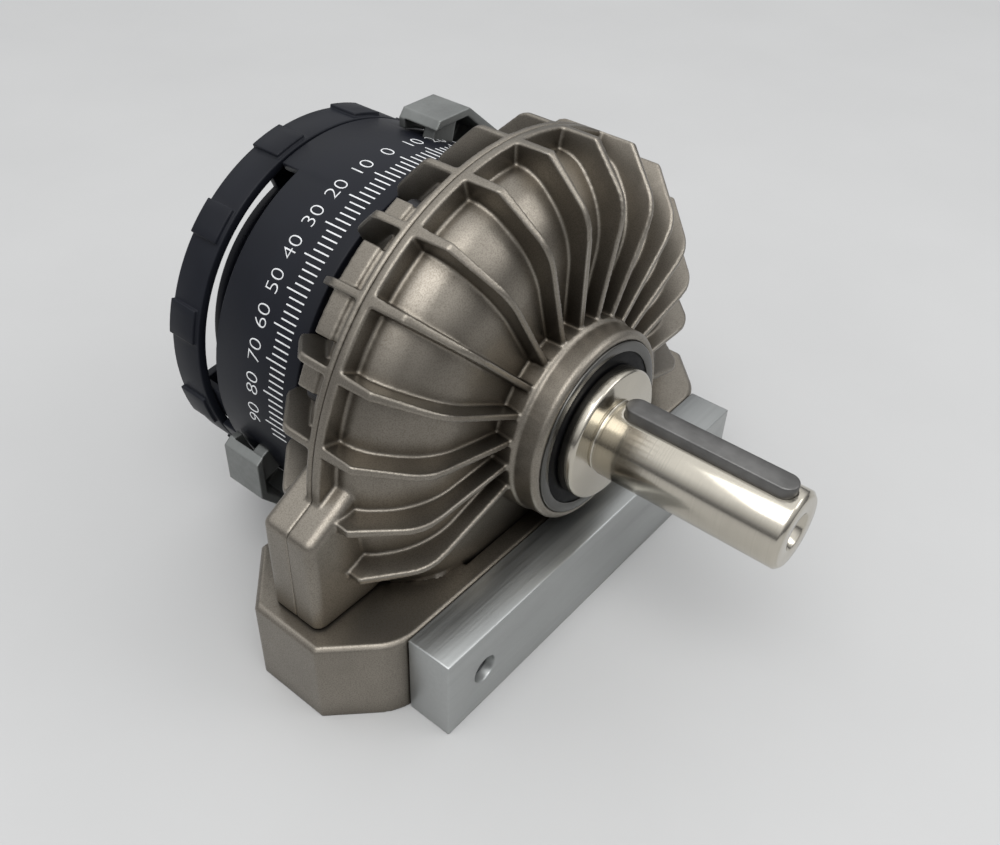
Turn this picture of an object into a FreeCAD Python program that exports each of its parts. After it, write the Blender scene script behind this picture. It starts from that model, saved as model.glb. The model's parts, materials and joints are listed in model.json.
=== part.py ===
import FreeCAD
import Part
import Sketcher
import os
import re

# Semi-rotary vane drive on a foot. Millimetres, +Z up, output shaft towards -Y.
# The origin lies on the underside of the foot, below the shaft, on the parting plane of the housing halves.
# Turned pieces are drawn about their own Y axis and then lifted to the height of the shaft.
# Angles are measured from straight up, positive towards +X.

SIZES = {
    # allowances: overlap into a carrier or past a face, play round screws and in seats
    "overrun": 1,
    "hole_play": 0.5,
    "head_gap": 0.4,
    "seat_play": 0.05,
    "pin_play": 0.2,
    # shaft and its key
    "axis_height": 54.4,
    "shaft_dia": 20,
    "shaft_end": 85.8,
    "shaft_tail": 42,
    "collar_dia": 35,
    "collar_front": 35.6,
    "journal_dia": 25,
    "edge_break": 1,
    "neck_depth": 0.4,
    "neck_length": 1.2,
    "key_width": 6,
    "key_height": 6,
    "key_length": 45,
    "key_seat": 3.5,
    "key_margin": 2.4,
    "centre_dia": 5,
    "centre_depth": 16,
    "centre_sink_dia": 9.6,
    "centre_sink_slope": 0.87,
    # bearings and shaft seals
    "bearing_dia": 47,
    "bearing_width": 12,
    "bearing_proud": 0.4,
    "inner_land_dia": 32,
    "outer_land_dia": 41.6,
    "shield_thick": 1,
    "shield_gap": 0.3,
    "shield_sunk": 0.3,
    "seal_dia": 38,
    "circlip_thick": 1.2,
    "circlip_dia": 30,
    "circlip_seat_dia": 23.8,
    "circlip_opening": 8,
    "circlip_land": 1,
    "lip_half": 1,
    # front housing half
    "rim_step": 5.3,
    "front_rim": 2.4,
    "drum_dia": 123.4,
    "dome_bend": 7.6,
    "dome_face": 18.7,
    "dome_round": 5,
    "hub_dia": 51.6,
    "hub_front": 31.1,
    "hub_root_dia": 53,
    "hub_root_front": 24.3,
    "rib_tip": 1.5,
    "rib_root": 2.7,
    "rib_corner": 11.4,
    "rib_front": 23.4,
    "rib_bend": 12,
    "rib_pitch_angle": 15,
    "ribs_each_side": 7,
    # ear blocks at the sides of both halves
    "ear_reach": 75.1,
    "ear_front": 7.6,
    "ear_rear": 8.6,
    "ear_shoulder": 52.6,
    "ear_crest": 59.9,
    "ear_crest_x": 62,
    "ear_round": 2.5,
    # rear housing half
    "rear_rim": 1.7,
    "seam_break": 0.3,
    "rear_bend": 6.5,
    "rear_face": 17.6,
    "rear_rib": 1.9,
    "rear_rib_corner": 10,
    "rear_rib_face": 22,
    "rear_round": 4,
    "rear_rib_bend": 6,
    "pad_step": 3.3,
    "pad_front": 4.7,
    "pad_end": 9.8,
    "boss_dia": 76,
    "boss_end": 24.5,
    # vane chamber and the part of the housing that sinks into the foot
    "chamber_dia": 103,
    "chamber_front": 13,
    "chamber_rear": 8.5,
    "chamber_depth": 43.4,
    "sump_dia": 113,
    "sump_depth": 48.2,
    "cord_offset": 0.9,
    "cord_width": 1.6,
    "cord_depth": 1.2,
    # vane and stator
    "vane_thick": 8,
    "vane_seal_thick": 5,
    "vane_seal_width": 1.8,
    "sleeve_dia": 29,
    "swing_half_angle": 135,
    "cushion_thick": 2,
    "cushion_root": 20,
    "cushion_tip": 44,
    "cushion_gap": 0.3,
    "stator_seal_width": 4,
    "stator_seal_depth": 3,
    "running_fit": 0.06,
    # foot and bar
    "foot_half": 79.3,
    "foot_front": 24.7,
    "foot_rear": 24.7,
    "foot_height": 25.2,
    "foot_straight": 10.4,
    "foot_corner": 14,
    "foot_bevel": 1,
    "foot_waist": 12.5,
    "foot_ear_width": 19.3,
    "deck_gap": 0.4,
    "pocket_gap": 0.3,
    "bar_half": 63,
    "bar_depth": 12.7,
    "bar_height": 25.6,
    "bar_hole_x": 49.6,
    "bar_hole_z": 12.4,
    "base_hole_dia": 8,
    "base_hole_depth": 16,
    "base_hole_inset": 13.3,
    "base_hole_y": 14,
    "port_dia": 9.7,
    "port_depth": 14,
    "port_inset": 7,
    "port_z": 17.5,
    "duct_dia": 4,
    "duct_y": 4.25,
    "duct_drop": 33.9,
    "duct_sleeve_dia": 6,
    "duct_sleeve_grip": 3.2,
    "duct_sleeve_length": 5.6,
    # screws and pins
    "screw_dia": 5,
    "screw_head_dia": 8.2,
    "screw_fit": 0.15,
    "sink_dia": 8.8,
    "rim_screw_inset": 4.7,
    "housing_screw_reach": 7.6,
    "ear_screw_inset": 6.6,
    "ear_screw_low": 36,
    "ear_screw_high": 48,
    "ear_screw_reach": 6,
    "foot_screw_x": 15,
    "foot_screw_front": 7,
    "foot_screw_rear": 4.2,
    "foot_screw_head": 3,
    "foot_screw_length": 18,
    "bar_screw_sunk": 2.4,
    "bar_screw_length": 20,
    "pin_dia": 4,
    "pin_half": 4,
    "pin_x": 60,
    "pin_z": 42,
    "small_screw_dia": 4,
    "small_head_dia": 7,
    "small_head": 4,
    # scale ring and rear cap
    "ring_step": 13.7,
    "ring_wall": 2.5,
    "ring_front": 22.6,
    "ring_end": 58,
    "ring_disc": 3,
    "ring_bore_dia": 43.6,
    "window_front": 52,
    "window_top_angle": 21,
    "window_low_angle": 110,
    "track_inset": 1.5,
    "track_width": 8,
    "track_margin_angle": 9.5,
    "slot_margin_angle": 5.5,
    "ring_screw_circle": 61,
    "ring_screw_reach": 10,
    "ring_screw_head": 0.9,
    "ring_screw_sink": 1,
    "cap_front": 59,
    "cap_end": 69.5,
    "cap_wall_front": 64.5,
    "cap_wall": 2.5,
    "cap_window_width": 8.9,
    "window_half_angle": 38,
    "window_middle_angle": -60,
    "tab_front": 50,
    "tab_wall": 2.2,
    "tab_half_angle": 7,
    "tab_gap": 0.3,
    "grip_height": 1,
    "grip_half_angle": 5.25,
    # stops and the lever that meets them
    "lever_angle": -45,
    "lever_front": 28.6,
    "lever_thick": 10,
    "lever_hub_dia": 34,
    "lever_half": 5,
    "lever_gap": 2.7,
    "lever_lug": 9,
    "lever_lug_drop": 24,
    "lever_slit": 1.6,
    "lever_root": 2,
    "top_stop_angle": 22,
    "left_stop_angle": -112,
    "stop_lean_angle": 22,
    "stop_travel_angle": 20,
    "hood_front": 35.7,
    "hood_end": 48.9,
    "hood_rise": 3.3,
    "hood_near": 6.3,
    "hood_far": 5.2,
    "hood_knee": 2.3,
    "hood_step": 1.8,
    "hood_flare": 11.5,
    "hood_fall": 9.8,
    "hood_wall": 2,
    "hood_inward": 0.85,
    "tongue_half": 4,
    "lug_end": 42,
    "stop_gap": 0.4,
    "stop_half": 6,
    "stop_screw_end": 18.6,
    "block_side": 0.8,
    "block_half": 6.5,
    "block_end": 38,
    "buffer_thick": 4,
    "buffer_dia": 6,
}

RIM_SCREW_ANGLES = (-67.5, -22.5, 22.5, 67.5)
PAD_SPANS = ((24.5, 29.2), (35, 55), (60.8, 66))
CAP_WINDOWS = 4
GRIPS = 12
RING_SCREW_ANGLES = (45, 135, 225, 315)

doc = FreeCAD.newDocument("semi_rotary_drive")
sheet = doc.addObject("Spreadsheet::Sheet", "Sizes")
for row, (alias, size) in enumerate(SIZES.items(), 1):
    sheet.set("A%d" % row, alias)
    sheet.set("B%d" % row, str(size))
    sheet.setAlias("B%d" % row, alias)
doc.recompute()

ALIASES = re.compile(r"\b(" + "|".join(sorted(SIZES, key=len, reverse=True)) + r")\b")
Y_AXIS = FreeCAD.Vector(0, 1, 0)
SIDES = (("-", "Left"), ("", "Right"))
NEAR = 0.01
NODES = []


def bound(text):
    """Expression text with each size pointing at its cell."""
    return ALIASES.sub(r"Sizes.\1", str(text))


def value(text):
    """Number that an expression gives at the moment."""
    return float(sheet.evalExpression(bound(text)))


def turned(u, v, angle):
    """Point u across and v out along a ray at an angle from straight up."""
    across = "(%s)*cos(%s) + (%s)*sin(%s)" % (u, angle, v, angle)
    along = "(%s)*cos(%s) - (%s)*sin(%s)" % (v, angle, u, angle)
    return across, along


def node(thing, label):
    thing.Label = label
    NODES.append(thing)
    return thing


def new_body(label, on_axis=True, angle="0"):
    """Empty body, drawn about the shaft axis or on the base plane."""
    body = doc.addObject("PartDesign::Body", label)
    body.Placement.Rotation = FreeCAD.Rotation(Y_AXIS, value(angle))
    if on_axis:
        body.setExpression("Placement.Base.z", bound("axis_height"))
    return node(body, label)


def origin_part(body, role):
    return next(item for item in body.Origin.OriginFeatures if item.Role == role)


def new_sketch(body, name, role, offset="0"):
    sketch = body.newObject("Sketcher::SketchObject", name)
    sketch.AttachmentSupport = [(origin_part(body, role), "")]
    sketch.MapMode = "FlatFace"
    sketch.setExpression("AttachmentOffset.Base.z", bound(offset))
    return sketch


def constrain(sketch, kind, target, text):
    index = sketch.addConstraint(Sketcher.Constraint(kind, *target, value(text)))
    sketch.setExpression("Constraints[%d]" % index, bound(text))


def place_point(sketch, geometry, position, x, y):
    constrain(sketch, "DistanceX", (-1, 1, geometry, position), x)
    constrain(sketch, "DistanceY", (-1, 1, geometry, position), y)


def arc_through(start, end, radius, turn_left):
    """Short arc from start to end, with its centre to the left or right of the way."""
    chord = end - start
    middle = (start + end) * 0.5
    side = FreeCAD.Vector(-chord.y, chord.x, 0).normalize()
    depth = max(radius * radius - chord.Length ** 2 / 4, 0) ** 0.5
    sign = 1 if turn_left else -1
    crown = middle + side * sign * (depth - radius)
    if turn_left:
        return Part.Arc(start, crown, end)
    return Part.Arc(end, crown, start)


def draw_outline(sketch, points):
    """Closed outline of points (x, y); (x, y, radius, turn_left) starts an arc to the next point."""
    spots = [FreeCAD.Vector(value(point[0]), value(point[1]), 0) for point in points]
    pieces = []
    for index, point in enumerate(points):
        start = spots[index]
        end = spots[(index + 1) % len(spots)]
        if len(point) == 2:
            geometry = sketch.addGeometry(Part.LineSegment(start, end))
            pieces.append((geometry, 1, 2))
            continue
        geometry = sketch.addGeometry(arc_through(start, end, value(point[2]), point[3]))
        pieces.append((geometry, 1, 2) if point[3] else (geometry, 2, 1))
    for index, (geometry, head, tail) in enumerate(pieces):
        before = pieces[index - 1]
        sketch.addConstraint(Sketcher.Constraint("Coincident", before[0], before[2], geometry, head))
    for (geometry, head, tail), point in zip(pieces, points):
        place_point(sketch, geometry, head, point[0], point[1])
        if len(point) == 4:
            constrain(sketch, "Radius", (geometry,), point[2])


def draw_circle(sketch, x, y, diameter):
    centre = FreeCAD.Vector(value(x), value(y), 0)
    circle = Part.Circle(centre, FreeCAD.Vector(0, 0, 1), value(diameter) / 2)
    geometry = sketch.addGeometry(circle)
    place_point(sketch, geometry, 3, x, y)
    constrain(sketch, "Diameter", (geometry,), diameter)


def draw_shapes(sketch, shapes):
    for shape in shapes:
        if isinstance(shape, tuple):
            draw_circle(sketch, *shape)
        else:
            draw_outline(sketch, shape)


def turn(body, name, points, cut=False):
    """Turn an outline of (y, radius) points round the body's Y axis."""
    sketch = new_sketch(body, name + "Outline", "YZ_Plane")
    draw_outline(sketch, points)
    kind = "PartDesign::Groove" if cut else "PartDesign::Revolution"
    feature = body.newObject(kind, name)
    feature.Profile = sketch
    feature.ReferenceAxis = (sketch, ["H_Axis"])
    feature.Angle = 360
    body.Tip = feature
    return feature


def extrude(body, name, role, low, high, shapes, cut=False):
    """Add or cut shapes between two places on the axis that crosses a plane of the body."""
    toward_minus = role == "XZ_Plane"
    start = low if toward_minus or not cut else high
    offset = "-(%s)" % start if toward_minus else start
    sketch = new_sketch(body, name + "Outline", role, offset)
    draw_shapes(sketch, shapes)
    feature = body.newObject("PartDesign::Pocket" if cut else "PartDesign::Pad", name)
    feature.Profile = sketch
    feature.setExpression("Length", bound("(%s) - (%s)" % (high, low)))
    feature.Reversed = toward_minus and not cut
    body.Tip = feature
    return feature


def along_y(body, name, low, high, shapes, cut=False):
    return extrude(body, name, "XZ_Plane", low, high, shapes, cut)


def along_z(body, name, low, high, shapes, cut=False):
    return extrude(body, name, "XY_Plane", low, high, shapes, cut)


def along_x(body, name, low, high, shapes, cut=False):
    return extrude(body, name, "YZ_Plane", low, high, shapes, cut)


def fan(body, name, originals, count, pitch, backwards=False):
    """Repeat features round the Y axis, one pitch apart, on one side of the first."""
    pattern = body.newObject("PartDesign::PolarPattern", name)
    pattern.Originals = originals
    pattern.Axis = (origin_part(body, "Y_Axis"), [""])
    pattern.setExpression("Angle", bound("(%s)*(%s)" % (count, pitch)))
    pattern.setExpression("Occurrences", bound("%s + 1" % count))
    pattern.Reversed = backwards
    body.Tip = pattern
    return pattern


def dress(body, name, kind, size_property, size, wanted):
    """Fillet or chamfer the edges of the body's last feature that a test picks."""
    doc.recompute()
    base = body.Tip
    names = ["Edge%d" % i for i, edge in enumerate(base.Shape.Edges, 1) if wanted(edge)]
    feature = body.newObject(kind, name)
    feature.Base = (base, names)
    feature.setExpression(size_property, bound(size))
    body.Tip = feature
    return feature


def box(x_low, x_high, y_low, y_high):
    return [(x_low, y_low), (x_high, y_low), (x_high, y_high), (x_low, y_high)]


def sector(inner, outer, start, stop):
    """Piece of a ring between two angles less than half a turn apart."""
    return [
        turned("0", inner, start),
        turned("0", outer, start) + (outer, False),
        turned("0", outer, stop),
        turned("0", inner, stop) + (inner, True),
    ]


def flat_round(radius, floor):
    """Circle about the axis with its lowest part cut off flat."""
    edge = "sqrt((%s)^2 - (%s)^2)" % (radius, floor)
    return [
        (edge, "-(%s)" % floor, radius, True),
        ("0", radius, radius, True),
        ("-" + edge, "-(%s)" % floor),
    ]


def cylinder(name, diameter, length, spot, axis):
    """Plain cylinder that starts at a spot (x, y, z) and runs along a signed axis."""
    turns = {
        "+Y": FreeCAD.Rotation(FreeCAD.Vector(1, 0, 0), -90),
        "-Y": FreeCAD.Rotation(FreeCAD.Vector(1, 0, 0), 90),
        "+Z": FreeCAD.Rotation(),
        "+X": FreeCAD.Rotation(Y_AXIS, 90),
        "-X": FreeCAD.Rotation(Y_AXIS, -90),
    }
    solid = doc.addObject("Part::Cylinder", name)
    solid.setExpression("Radius", bound("(%s)/2" % diameter))
    solid.setExpression("Height", bound(length))
    solid.Placement.Rotation = turns[axis] if isinstance(axis, str) else axis
    for letter, text in zip("xyz", spot):
        solid.setExpression("Placement.Base." + letter, bound(text))
    return solid


def joined(name, solids):
    whole = doc.addObject("Part::MultiFuse", name)
    whole.Shapes = solids
    return whole


def group(label, solids):
    """Like pieces kept as separate solids under one name."""
    whole = doc.addObject("Part::Compound", label)
    whole.Links = solids
    return node(whole, label)


def shift(spot, axis, distance):
    letter = "XYZ".index(axis[1])
    moved = list(spot)
    moved[letter] = "%s %s (%s)" % (spot[letter], axis[0], distance)
    return tuple(moved)


def cap_screw(name, spot, axis, length, diameter="small_screw_dia", head_dia="small_head_dia", head="small_head"):
    """Cap screw whose head sits behind the spot and whose shank runs along the axis."""
    back = {"+": "-", "-": "+"}[axis[0]] + axis[1]
    shank_start = shift(spot, back, "%s/2" % head)
    shank_dia = "%s - 2*screw_fit" % diameter
    shank = cylinder(name + "Shank", shank_dia, "%s + %s/2" % (length, head), shank_start, axis)
    top = cylinder(name + "Head", head_dia, head, shift(spot, back, head), axis)
    return joined(name, [shank, top])


def on_circle(radius, angle, y):
    x, z = turned("0", radius, str(angle))
    return x, y, "axis_height + " + z


RIM = "(drum_dia/2 + rim_step)"
PAD = "(drum_dia/2 + pad_step)"
RIM_SCREW_RADIUS = "(drum_dia/2 - rim_screw_inset)"
RING = "(boss_dia/2 + ring_step)"
RING_INSIDE = "(boss_dia/2 + ring_step - ring_wall)"
TRACK_IN = "(boss_dia/2 + track_inset)"
TRACK_OUT = "(boss_dia/2 + track_inset + track_width)"
TRACK_MIDDLE = "(boss_dia/2 + track_inset + track_width/2)"
FOOT_EAR = "(foot_half - foot_ear_width)"
PORT_X = "(foot_half - foot_ear_width - port_inset)"
HOOD_TOP = "(boss_dia/2 + ring_step + hood_rise)"
HOOD_MIDDLE = "(boss_dia/2 + ring_step + hood_rise)*tan(stop_lean_angle)"
HOOD_NEAR = "(%s - hood_near)" % HOOD_MIDDLE
HOOD_FAR = "(%s + hood_far)" % HOOD_MIDDLE
SLEEVE_IN = "(sqrt((sump_dia/2)^2 - duct_drop^2) - duct_sleeve_grip)"
DECK = "(axis_height - foot_height - deck_gap)"
FRONT_BEARING_BACK = "(hub_front + bearing_proud - bearing_width)"
REAR_BEARING_FRONT = "(boss_end - bearing_width)"
EAR_SCREW_SEAT = "(ear_rear - small_head - head_gap)"
RIM_SCREW_SEAT = "(rear_bend + head_gap)"


def ear_shapes():
    shapes = []
    for side, name in SIDES:
        outer = side + "ear_reach"
        crest = side + "ear_crest_x"
        root = side + "(chamber_dia/2 + overrun)"
        shapes.append([
            (outer, "-" + DECK),
            (outer, "ear_shoulder - axis_height"),
            (crest, "ear_crest - axis_height"),
            (root, "ear_crest - axis_height"),
            (root, "-" + DECK),
        ])
    return shapes


def sump_outline():
    """Outline of the part of the housing that sinks into the foot, from its left edge round to its right."""
    side = "sqrt((sump_dia/2)^2 - %s^2)" % DECK
    foot = "sqrt((sump_dia/2)^2 - sump_depth^2)"
    return [
        ("-" + side, "-" + DECK, "sump_dia/2", True),
        ("-" + foot, "-sump_depth"),
        (foot, "-sump_depth", "sump_dia/2", True),
        (side, "-" + DECK),
    ]


def cut_below_deck(body):
    """Leave only the sump below the level where the ears stand over the foot."""
    far = "(2*drum_dia)"
    outline = [("-" + far, "-" + DECK)] + sump_outline() + [
        (far, "-" + DECK),
        (far, "-" + far),
        ("-" + far, "-" + far),
    ]
    along_y(body, "SumpCut", "-hub_front - overrun", "boss_end", [outline], cut=True)


def ear_holes(diameter):
    return [(side + "(ear_reach - ear_screw_inset)", level + " - axis_height", diameter)
            for side, name in SIDES for level in ("ear_screw_low", "ear_screw_high")]


def rim_holes(diameter):
    return [turned("0", RIM_SCREW_RADIUS, str(angle)) + (diameter,) for angle in RIM_SCREW_ANGLES]


def pin_holes(diameter):
    return [(side + "pin_x", "pin_z - axis_height", diameter) for side, name in SIDES]


def make_ears(body, low, high, face):
    """Ear blocks with their outer upright, sloping and shoulder edges rounded."""
    along_y(body, "Ears", low, high, ear_shapes())
    reach = value("ear_reach")
    crest = value("ear_crest_x")
    shoulder = value("ear_shoulder - axis_height")
    level = value(face)

    def wanted(edge):
        points = [vertex.Point for vertex in edge.Vertexes]
        outside = all(abs(point.x) > crest - NEAR for point in points)
        on_face = all(abs(point.y - level) < NEAR for point in points)
        bottom_edge = all(point.z < shoulder - NEAR for point in points)
        at_end = all(abs(abs(point.x) - reach) < NEAR for point in points)
        on_shoulder = at_end and all(abs(point.z - shoulder) < NEAR for point in points)
        return outside and (on_shoulder or (on_face and not bottom_edge))

    dress(body, "EarRound", "PartDesign::Fillet", "Radius", "ear_round", wanted)


def make_front_housing():
    body = new_body("front_housing")
    make_ears(body, "-ear_front", "0", "-ear_front")
    slope_end = "(drum_dia/2 - dome_face + dome_bend)"
    bend = "dome_round*tan(22.5)"
    turn(body, "Dome", [
        ("0", "seal_dia/2"),
        ("0", RIM + " - seam_break"),
        ("-seam_break", RIM),
        ("-front_rim", RIM),
        ("-front_rim", "drum_dia/2"),
        ("-dome_bend + " + bend, "drum_dia/2", "dome_round", True),
        ("-dome_bend - %s*sin(45)" % bend, "drum_dia/2 - %s*sin(45)" % bend),
        ("-dome_face + %s*sin(45)" % bend, "%s + %s*sin(45)" % (slope_end, bend), "dome_round", True),
        ("-dome_face", "%s - %s" % (slope_end, bend)),
        ("-dome_face", "hub_root_dia/2"),
        ("-hub_root_front", "hub_root_dia/2"),
        ("-hub_root_front", "hub_dia/2"),
        ("-hub_front + edge_break", "hub_dia/2"),
        ("-hub_front", "hub_dia/2 - edge_break"),
        ("-hub_front", "bearing_dia/2"),
        ("-" + FRONT_BEARING_BACK, "bearing_dia/2"),
        ("-" + FRONT_BEARING_BACK, "seal_dia/2"),
    ])

    # A rib is a drafted fin, thin in front and thicker at the rim, with its outer corner cut along the slope.
    rib = along_z(body, "Rib", "hub_dia/2 - overrun", RIM, [[
        ("-rib_tip/2", "-rib_front"),
        ("rib_tip/2", "-rib_front"),
        ("rib_root/2", "-front_rim/2"),
        ("-rib_root/2", "-front_rim/2"),
    ]])
    corner = "(%s - rib_front + rib_corner)" % RIM
    run = "rib_bend*tan(22.5)"
    corner_cut = along_x(body, "RibCorner", "-rib_root", "rib_root", [[
        ("-rib_corner", RIM),
        ("-rib_front + %s*sin(45)" % run, "%s + %s*sin(45)" % (corner, run), "rib_bend", True),
        ("-rib_front", "%s - %s" % (corner, run)),
        ("-rib_front - overrun", "%s - %s" % (corner, run)),
        ("-rib_front - overrun", RIM + " + overrun"),
        ("-rib_corner", RIM + " + overrun"),
    ]], cut=True)
    fan(body, "RibsRight", [rib, corner_cut], "ribs_each_side", "rib_pitch_angle")
    fan(body, "RibsLeft", [rib, corner_cut], "ribs_each_side", "rib_pitch_angle", backwards=True)
    cut_below_deck(body)
    along_y(body, "SumpFront", "-dome_face", "-dome_bend", [sump_outline()])
    along_y(body, "Chamber", "-chamber_front", "0", [flat_round("chamber_dia/2", "chamber_depth")], cut=True)
    along_y(body, "RimHoles", "-housing_screw_reach", "0", rim_holes("small_screw_dia"), cut=True)
    along_y(body, "EarHoles", "-ear_screw_reach", "0", ear_holes("small_screw_dia"), cut=True)
    along_y(body, "PinHoles", "-pin_half", "0", pin_holes("pin_dia"), cut=True)
    foot_screw_holes(body, "-foot_screw_front")


def foot_screw_holes(body, y):
    along_z(body, "FootScrewHoles", "-sump_depth - overrun", "-chamber_depth + overrun",
            [(side + "foot_screw_x", y, "screw_dia") for side, name in SIDES], cut=True)


def make_rear_housing():
    body = new_body("rear_housing")
    make_ears(body, "0", "ear_rear", "ear_rear")
    turn(body, "Drum", [
        ("0", "seal_dia/2"),
        ("0", RIM + " - seam_break"),
        ("seam_break", RIM),
        ("rear_rim", RIM),
        ("rear_rim", "drum_dia/2"),
        ("rear_bend", "drum_dia/2"),
        ("rear_face", "drum_dia/2 - rear_face + rear_bend"),
        ("rear_face", "boss_dia/2"),
        ("boss_end", "boss_dia/2"),
        ("boss_end", "bearing_dia/2"),
        (REAR_BEARING_FRONT, "bearing_dia/2"),
        (REAR_BEARING_FRONT, "seal_dia/2"),
    ])
    spans = [(str(sign * low), str(sign * high)) for low, high in PAD_SPANS for sign in (-1, 1)]
    spans = [(low, high) if float(low) < float(high) else (high, low) for low, high in spans]
    pad_root = "(drum_dia/2 + rear_bend - pad_end - overrun)"
    along_y(body, "Pads", "pad_front", "pad_end", [sector(pad_root, PAD, low, high) for low, high in spans])

    # A rib is a plate that follows the rim, a slope and the rear face, and ends outside the path of the stops.
    low_end = RING_INSIDE + " + stop_gap"
    crest = "(%s + rear_rib_corner - rear_rib_face)" % RIM
    run = "rear_rib_bend*tan(22.5)"
    turn_run = "rear_round*tan(22.5)"
    rib = along_x(body, "Rib", "-rear_rib/2", "rear_rib/2", [[
        ("rear_rim/2", "drum_dia/2 - overrun"),
        ("rear_bend", "drum_dia/2 - overrun"),
        ("rear_face - overrun", low_end),
        ("rear_rib_face", low_end),
        ("rear_rib_face", "%s - %s" % (crest, run), "rear_rib_bend", True),
        ("rear_rib_face - %s*sin(45)" % run, "%s + %s*sin(45)" % (crest, run)),
        ("rear_rib_corner + %s*sin(45)" % turn_run, "%s - %s*sin(45)" % (RIM, turn_run), "rear_round", True),
        ("rear_rib_corner - " + turn_run, RIM),
        ("rear_rim/2", RIM),
    ]])
    fan(body, "RibsRight", [rib], "ribs_each_side", "rib_pitch_angle")
    fan(body, "RibsLeft", [rib], "ribs_each_side", "rib_pitch_angle", backwards=True)
    cut_below_deck(body)
    along_y(body, "Chamber", "0", "chamber_rear", [flat_round("chamber_dia/2", "chamber_depth")], cut=True)
    along_y(body, "CordGroove", "0", "cord_depth", cord_shapes("0"), cut=True)
    along_y(body, "RimHoles", "0", "rear_face", rim_holes("small_screw_dia + hole_play"), cut=True)
    along_y(body, "RimSinks", RIM_SCREW_SEAT, "rear_face", rim_holes("small_head_dia + hole_play"), cut=True)
    along_y(body, "EarHoles", "0", "ear_rear", ear_holes("small_screw_dia + hole_play"), cut=True)
    along_y(body, "EarSinks", EAR_SCREW_SEAT, "rear_face", ear_holes("small_head_dia + hole_play"), cut=True)
    along_y(body, "PinHoles", "0", "pin_half", pin_holes("pin_dia"), cut=True)
    foot_screw_holes(body, "foot_screw_rear")
    along_y(body, "RingScrewHoles", "boss_end - ring_screw_reach", "boss_end",
            ring_screw_holes("small_screw_dia"), cut=True)
    for side, name in SIDES:
        reach = [side + "(chamber_dia/4)", side + RIM]
        sleeve = [side + SLEEVE_IN, side + RIM]
        if side:
            reach.reverse()
            sleeve.reverse()
        duct = [("duct_y", "-duct_drop", "duct_dia")]
        seat = [("duct_y", "-duct_drop", "duct_sleeve_dia + 2*seat_play")]
        along_x(body, name + "Duct", reach[0], reach[1], duct, cut=True)
        along_x(body, name + "DuctSeat", sleeve[0], sleeve[1], seat, cut=True)


def cord_shapes(gap):
    """Two outlines round the chamber, between which the sealing cord lies."""
    inner = "cord_offset + " + gap
    outer = "cord_offset + cord_width - " + gap
    return [flat_round("(chamber_dia/2 + %s)" % grow, "(chamber_depth + %s)" % grow)
            for grow in (inner, outer)]


def ring_screw_holes(diameter):
    return [turned("0", "ring_screw_circle/2", str(angle)) + (diameter,) for angle in RING_SCREW_ANGLES]


def make_housing_fittings():
    body = new_body("housing_seal")
    along_y(body, "Cord", "0", "cord_depth", cord_shapes("2*seat_play"))

    screws = []
    for number, angle in enumerate(RIM_SCREW_ANGLES):
        spot = on_circle(RIM_SCREW_RADIUS, angle, RIM_SCREW_SEAT)
        length = RIM_SCREW_SEAT + " + ear_screw_reach"
        screws.append(cap_screw("RimScrew%d" % number, spot, "-Y", length))
    for side, name in SIDES:
        for level in ("ear_screw_low", "ear_screw_high"):
            spot = (side + "(ear_reach - ear_screw_inset)", EAR_SCREW_SEAT, level)
            length = EAR_SCREW_SEAT + " + ear_screw_reach - head_gap"
            screws.append(cap_screw("EarScrew" + name + level, spot, "-Y", length))
    group("housing_screws", screws)

    pins = []
    for side, name in SIDES:
        spot = (side + "pin_x", "-pin_half + pin_play", "pin_z")
        pins.append(cylinder("Pin" + name, "pin_dia - seat_play", "2*(pin_half - pin_play)", spot, "+Y"))
    group("dowel_pins", pins)


def make_stator():
    half = "(swing_half_angle)"
    flank = "(vane_thick/2 + cushion_thick + cushion_gap)"
    inner = "(sleeve_dia/2 + cushion_gap)"
    outer = "(chamber_dia/2 - running_fit)"
    floor = "(chamber_depth - running_fit)"
    edge = "sqrt(%s^2 - %s^2)" % (outer, floor)
    in_run = "sqrt(%s^2 - %s^2)" % (inner, flank)
    out_run = "sqrt(%s^2 - %s^2)" % (outer, flank)
    body = new_body("stator")
    along_y(body, "Wedge", "-chamber_front + running_fit", "chamber_rear - running_fit", [[
        turned(flank, in_run, half),
        turned(flank, out_run, half) + (outer, False),
        (edge, "-" + floor),
        ("-" + edge, "-" + floor, outer, False),
        turned("-" + flank, out_run, "-" + half),
        turned("-" + flank, in_run, "-" + half) + (inner, True),
    ]])
    along_y(body, "SealGroove", "-chamber_front", "chamber_rear", [
        box("-stator_seal_width/2", "stator_seal_width/2",
            "-sleeve_dia/2 - stator_seal_depth", "-sleeve_dia/2 + overrun")
    ], cut=True)
    along_z(body, "ScrewHoles", "-chamber_depth", "-chamber_depth + foot_screw_length",
            foot_holes("screw_dia"), cut=True)

    body = new_body("stator_seal")
    along_y(body, "Strip", "-chamber_front + running_fit", "chamber_rear - running_fit", [
        box("-stator_seal_width/2 + seat_play", "stator_seal_width/2 - seat_play",
            "-sleeve_dia/2 - stator_seal_depth + seat_play", "-sleeve_dia/2 - running_fit")
    ])

    body = new_body("end_cushions")
    pads = []
    for side, angle in (("", half), ("-", "-" + half)):
        near = side + "(vane_thick/2 + cushion_gap)"
        far = side + flank
        pads.append([
            turned(near, "cushion_root", angle),
            turned(far, "cushion_root", angle),
            turned(far, "cushion_tip", angle),
            turned(near, "cushion_tip", angle),
        ])
    along_y(body, "Pads", "-chamber_front + edge_break", "chamber_rear - edge_break", pads)


def tube(body, name, low, high, inner, outer):
    """Plain ring between two places on the axis and two radii."""
    return turn(body, name, [(low, inner), (high, inner), (high, outer), (low, outer)])


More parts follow.
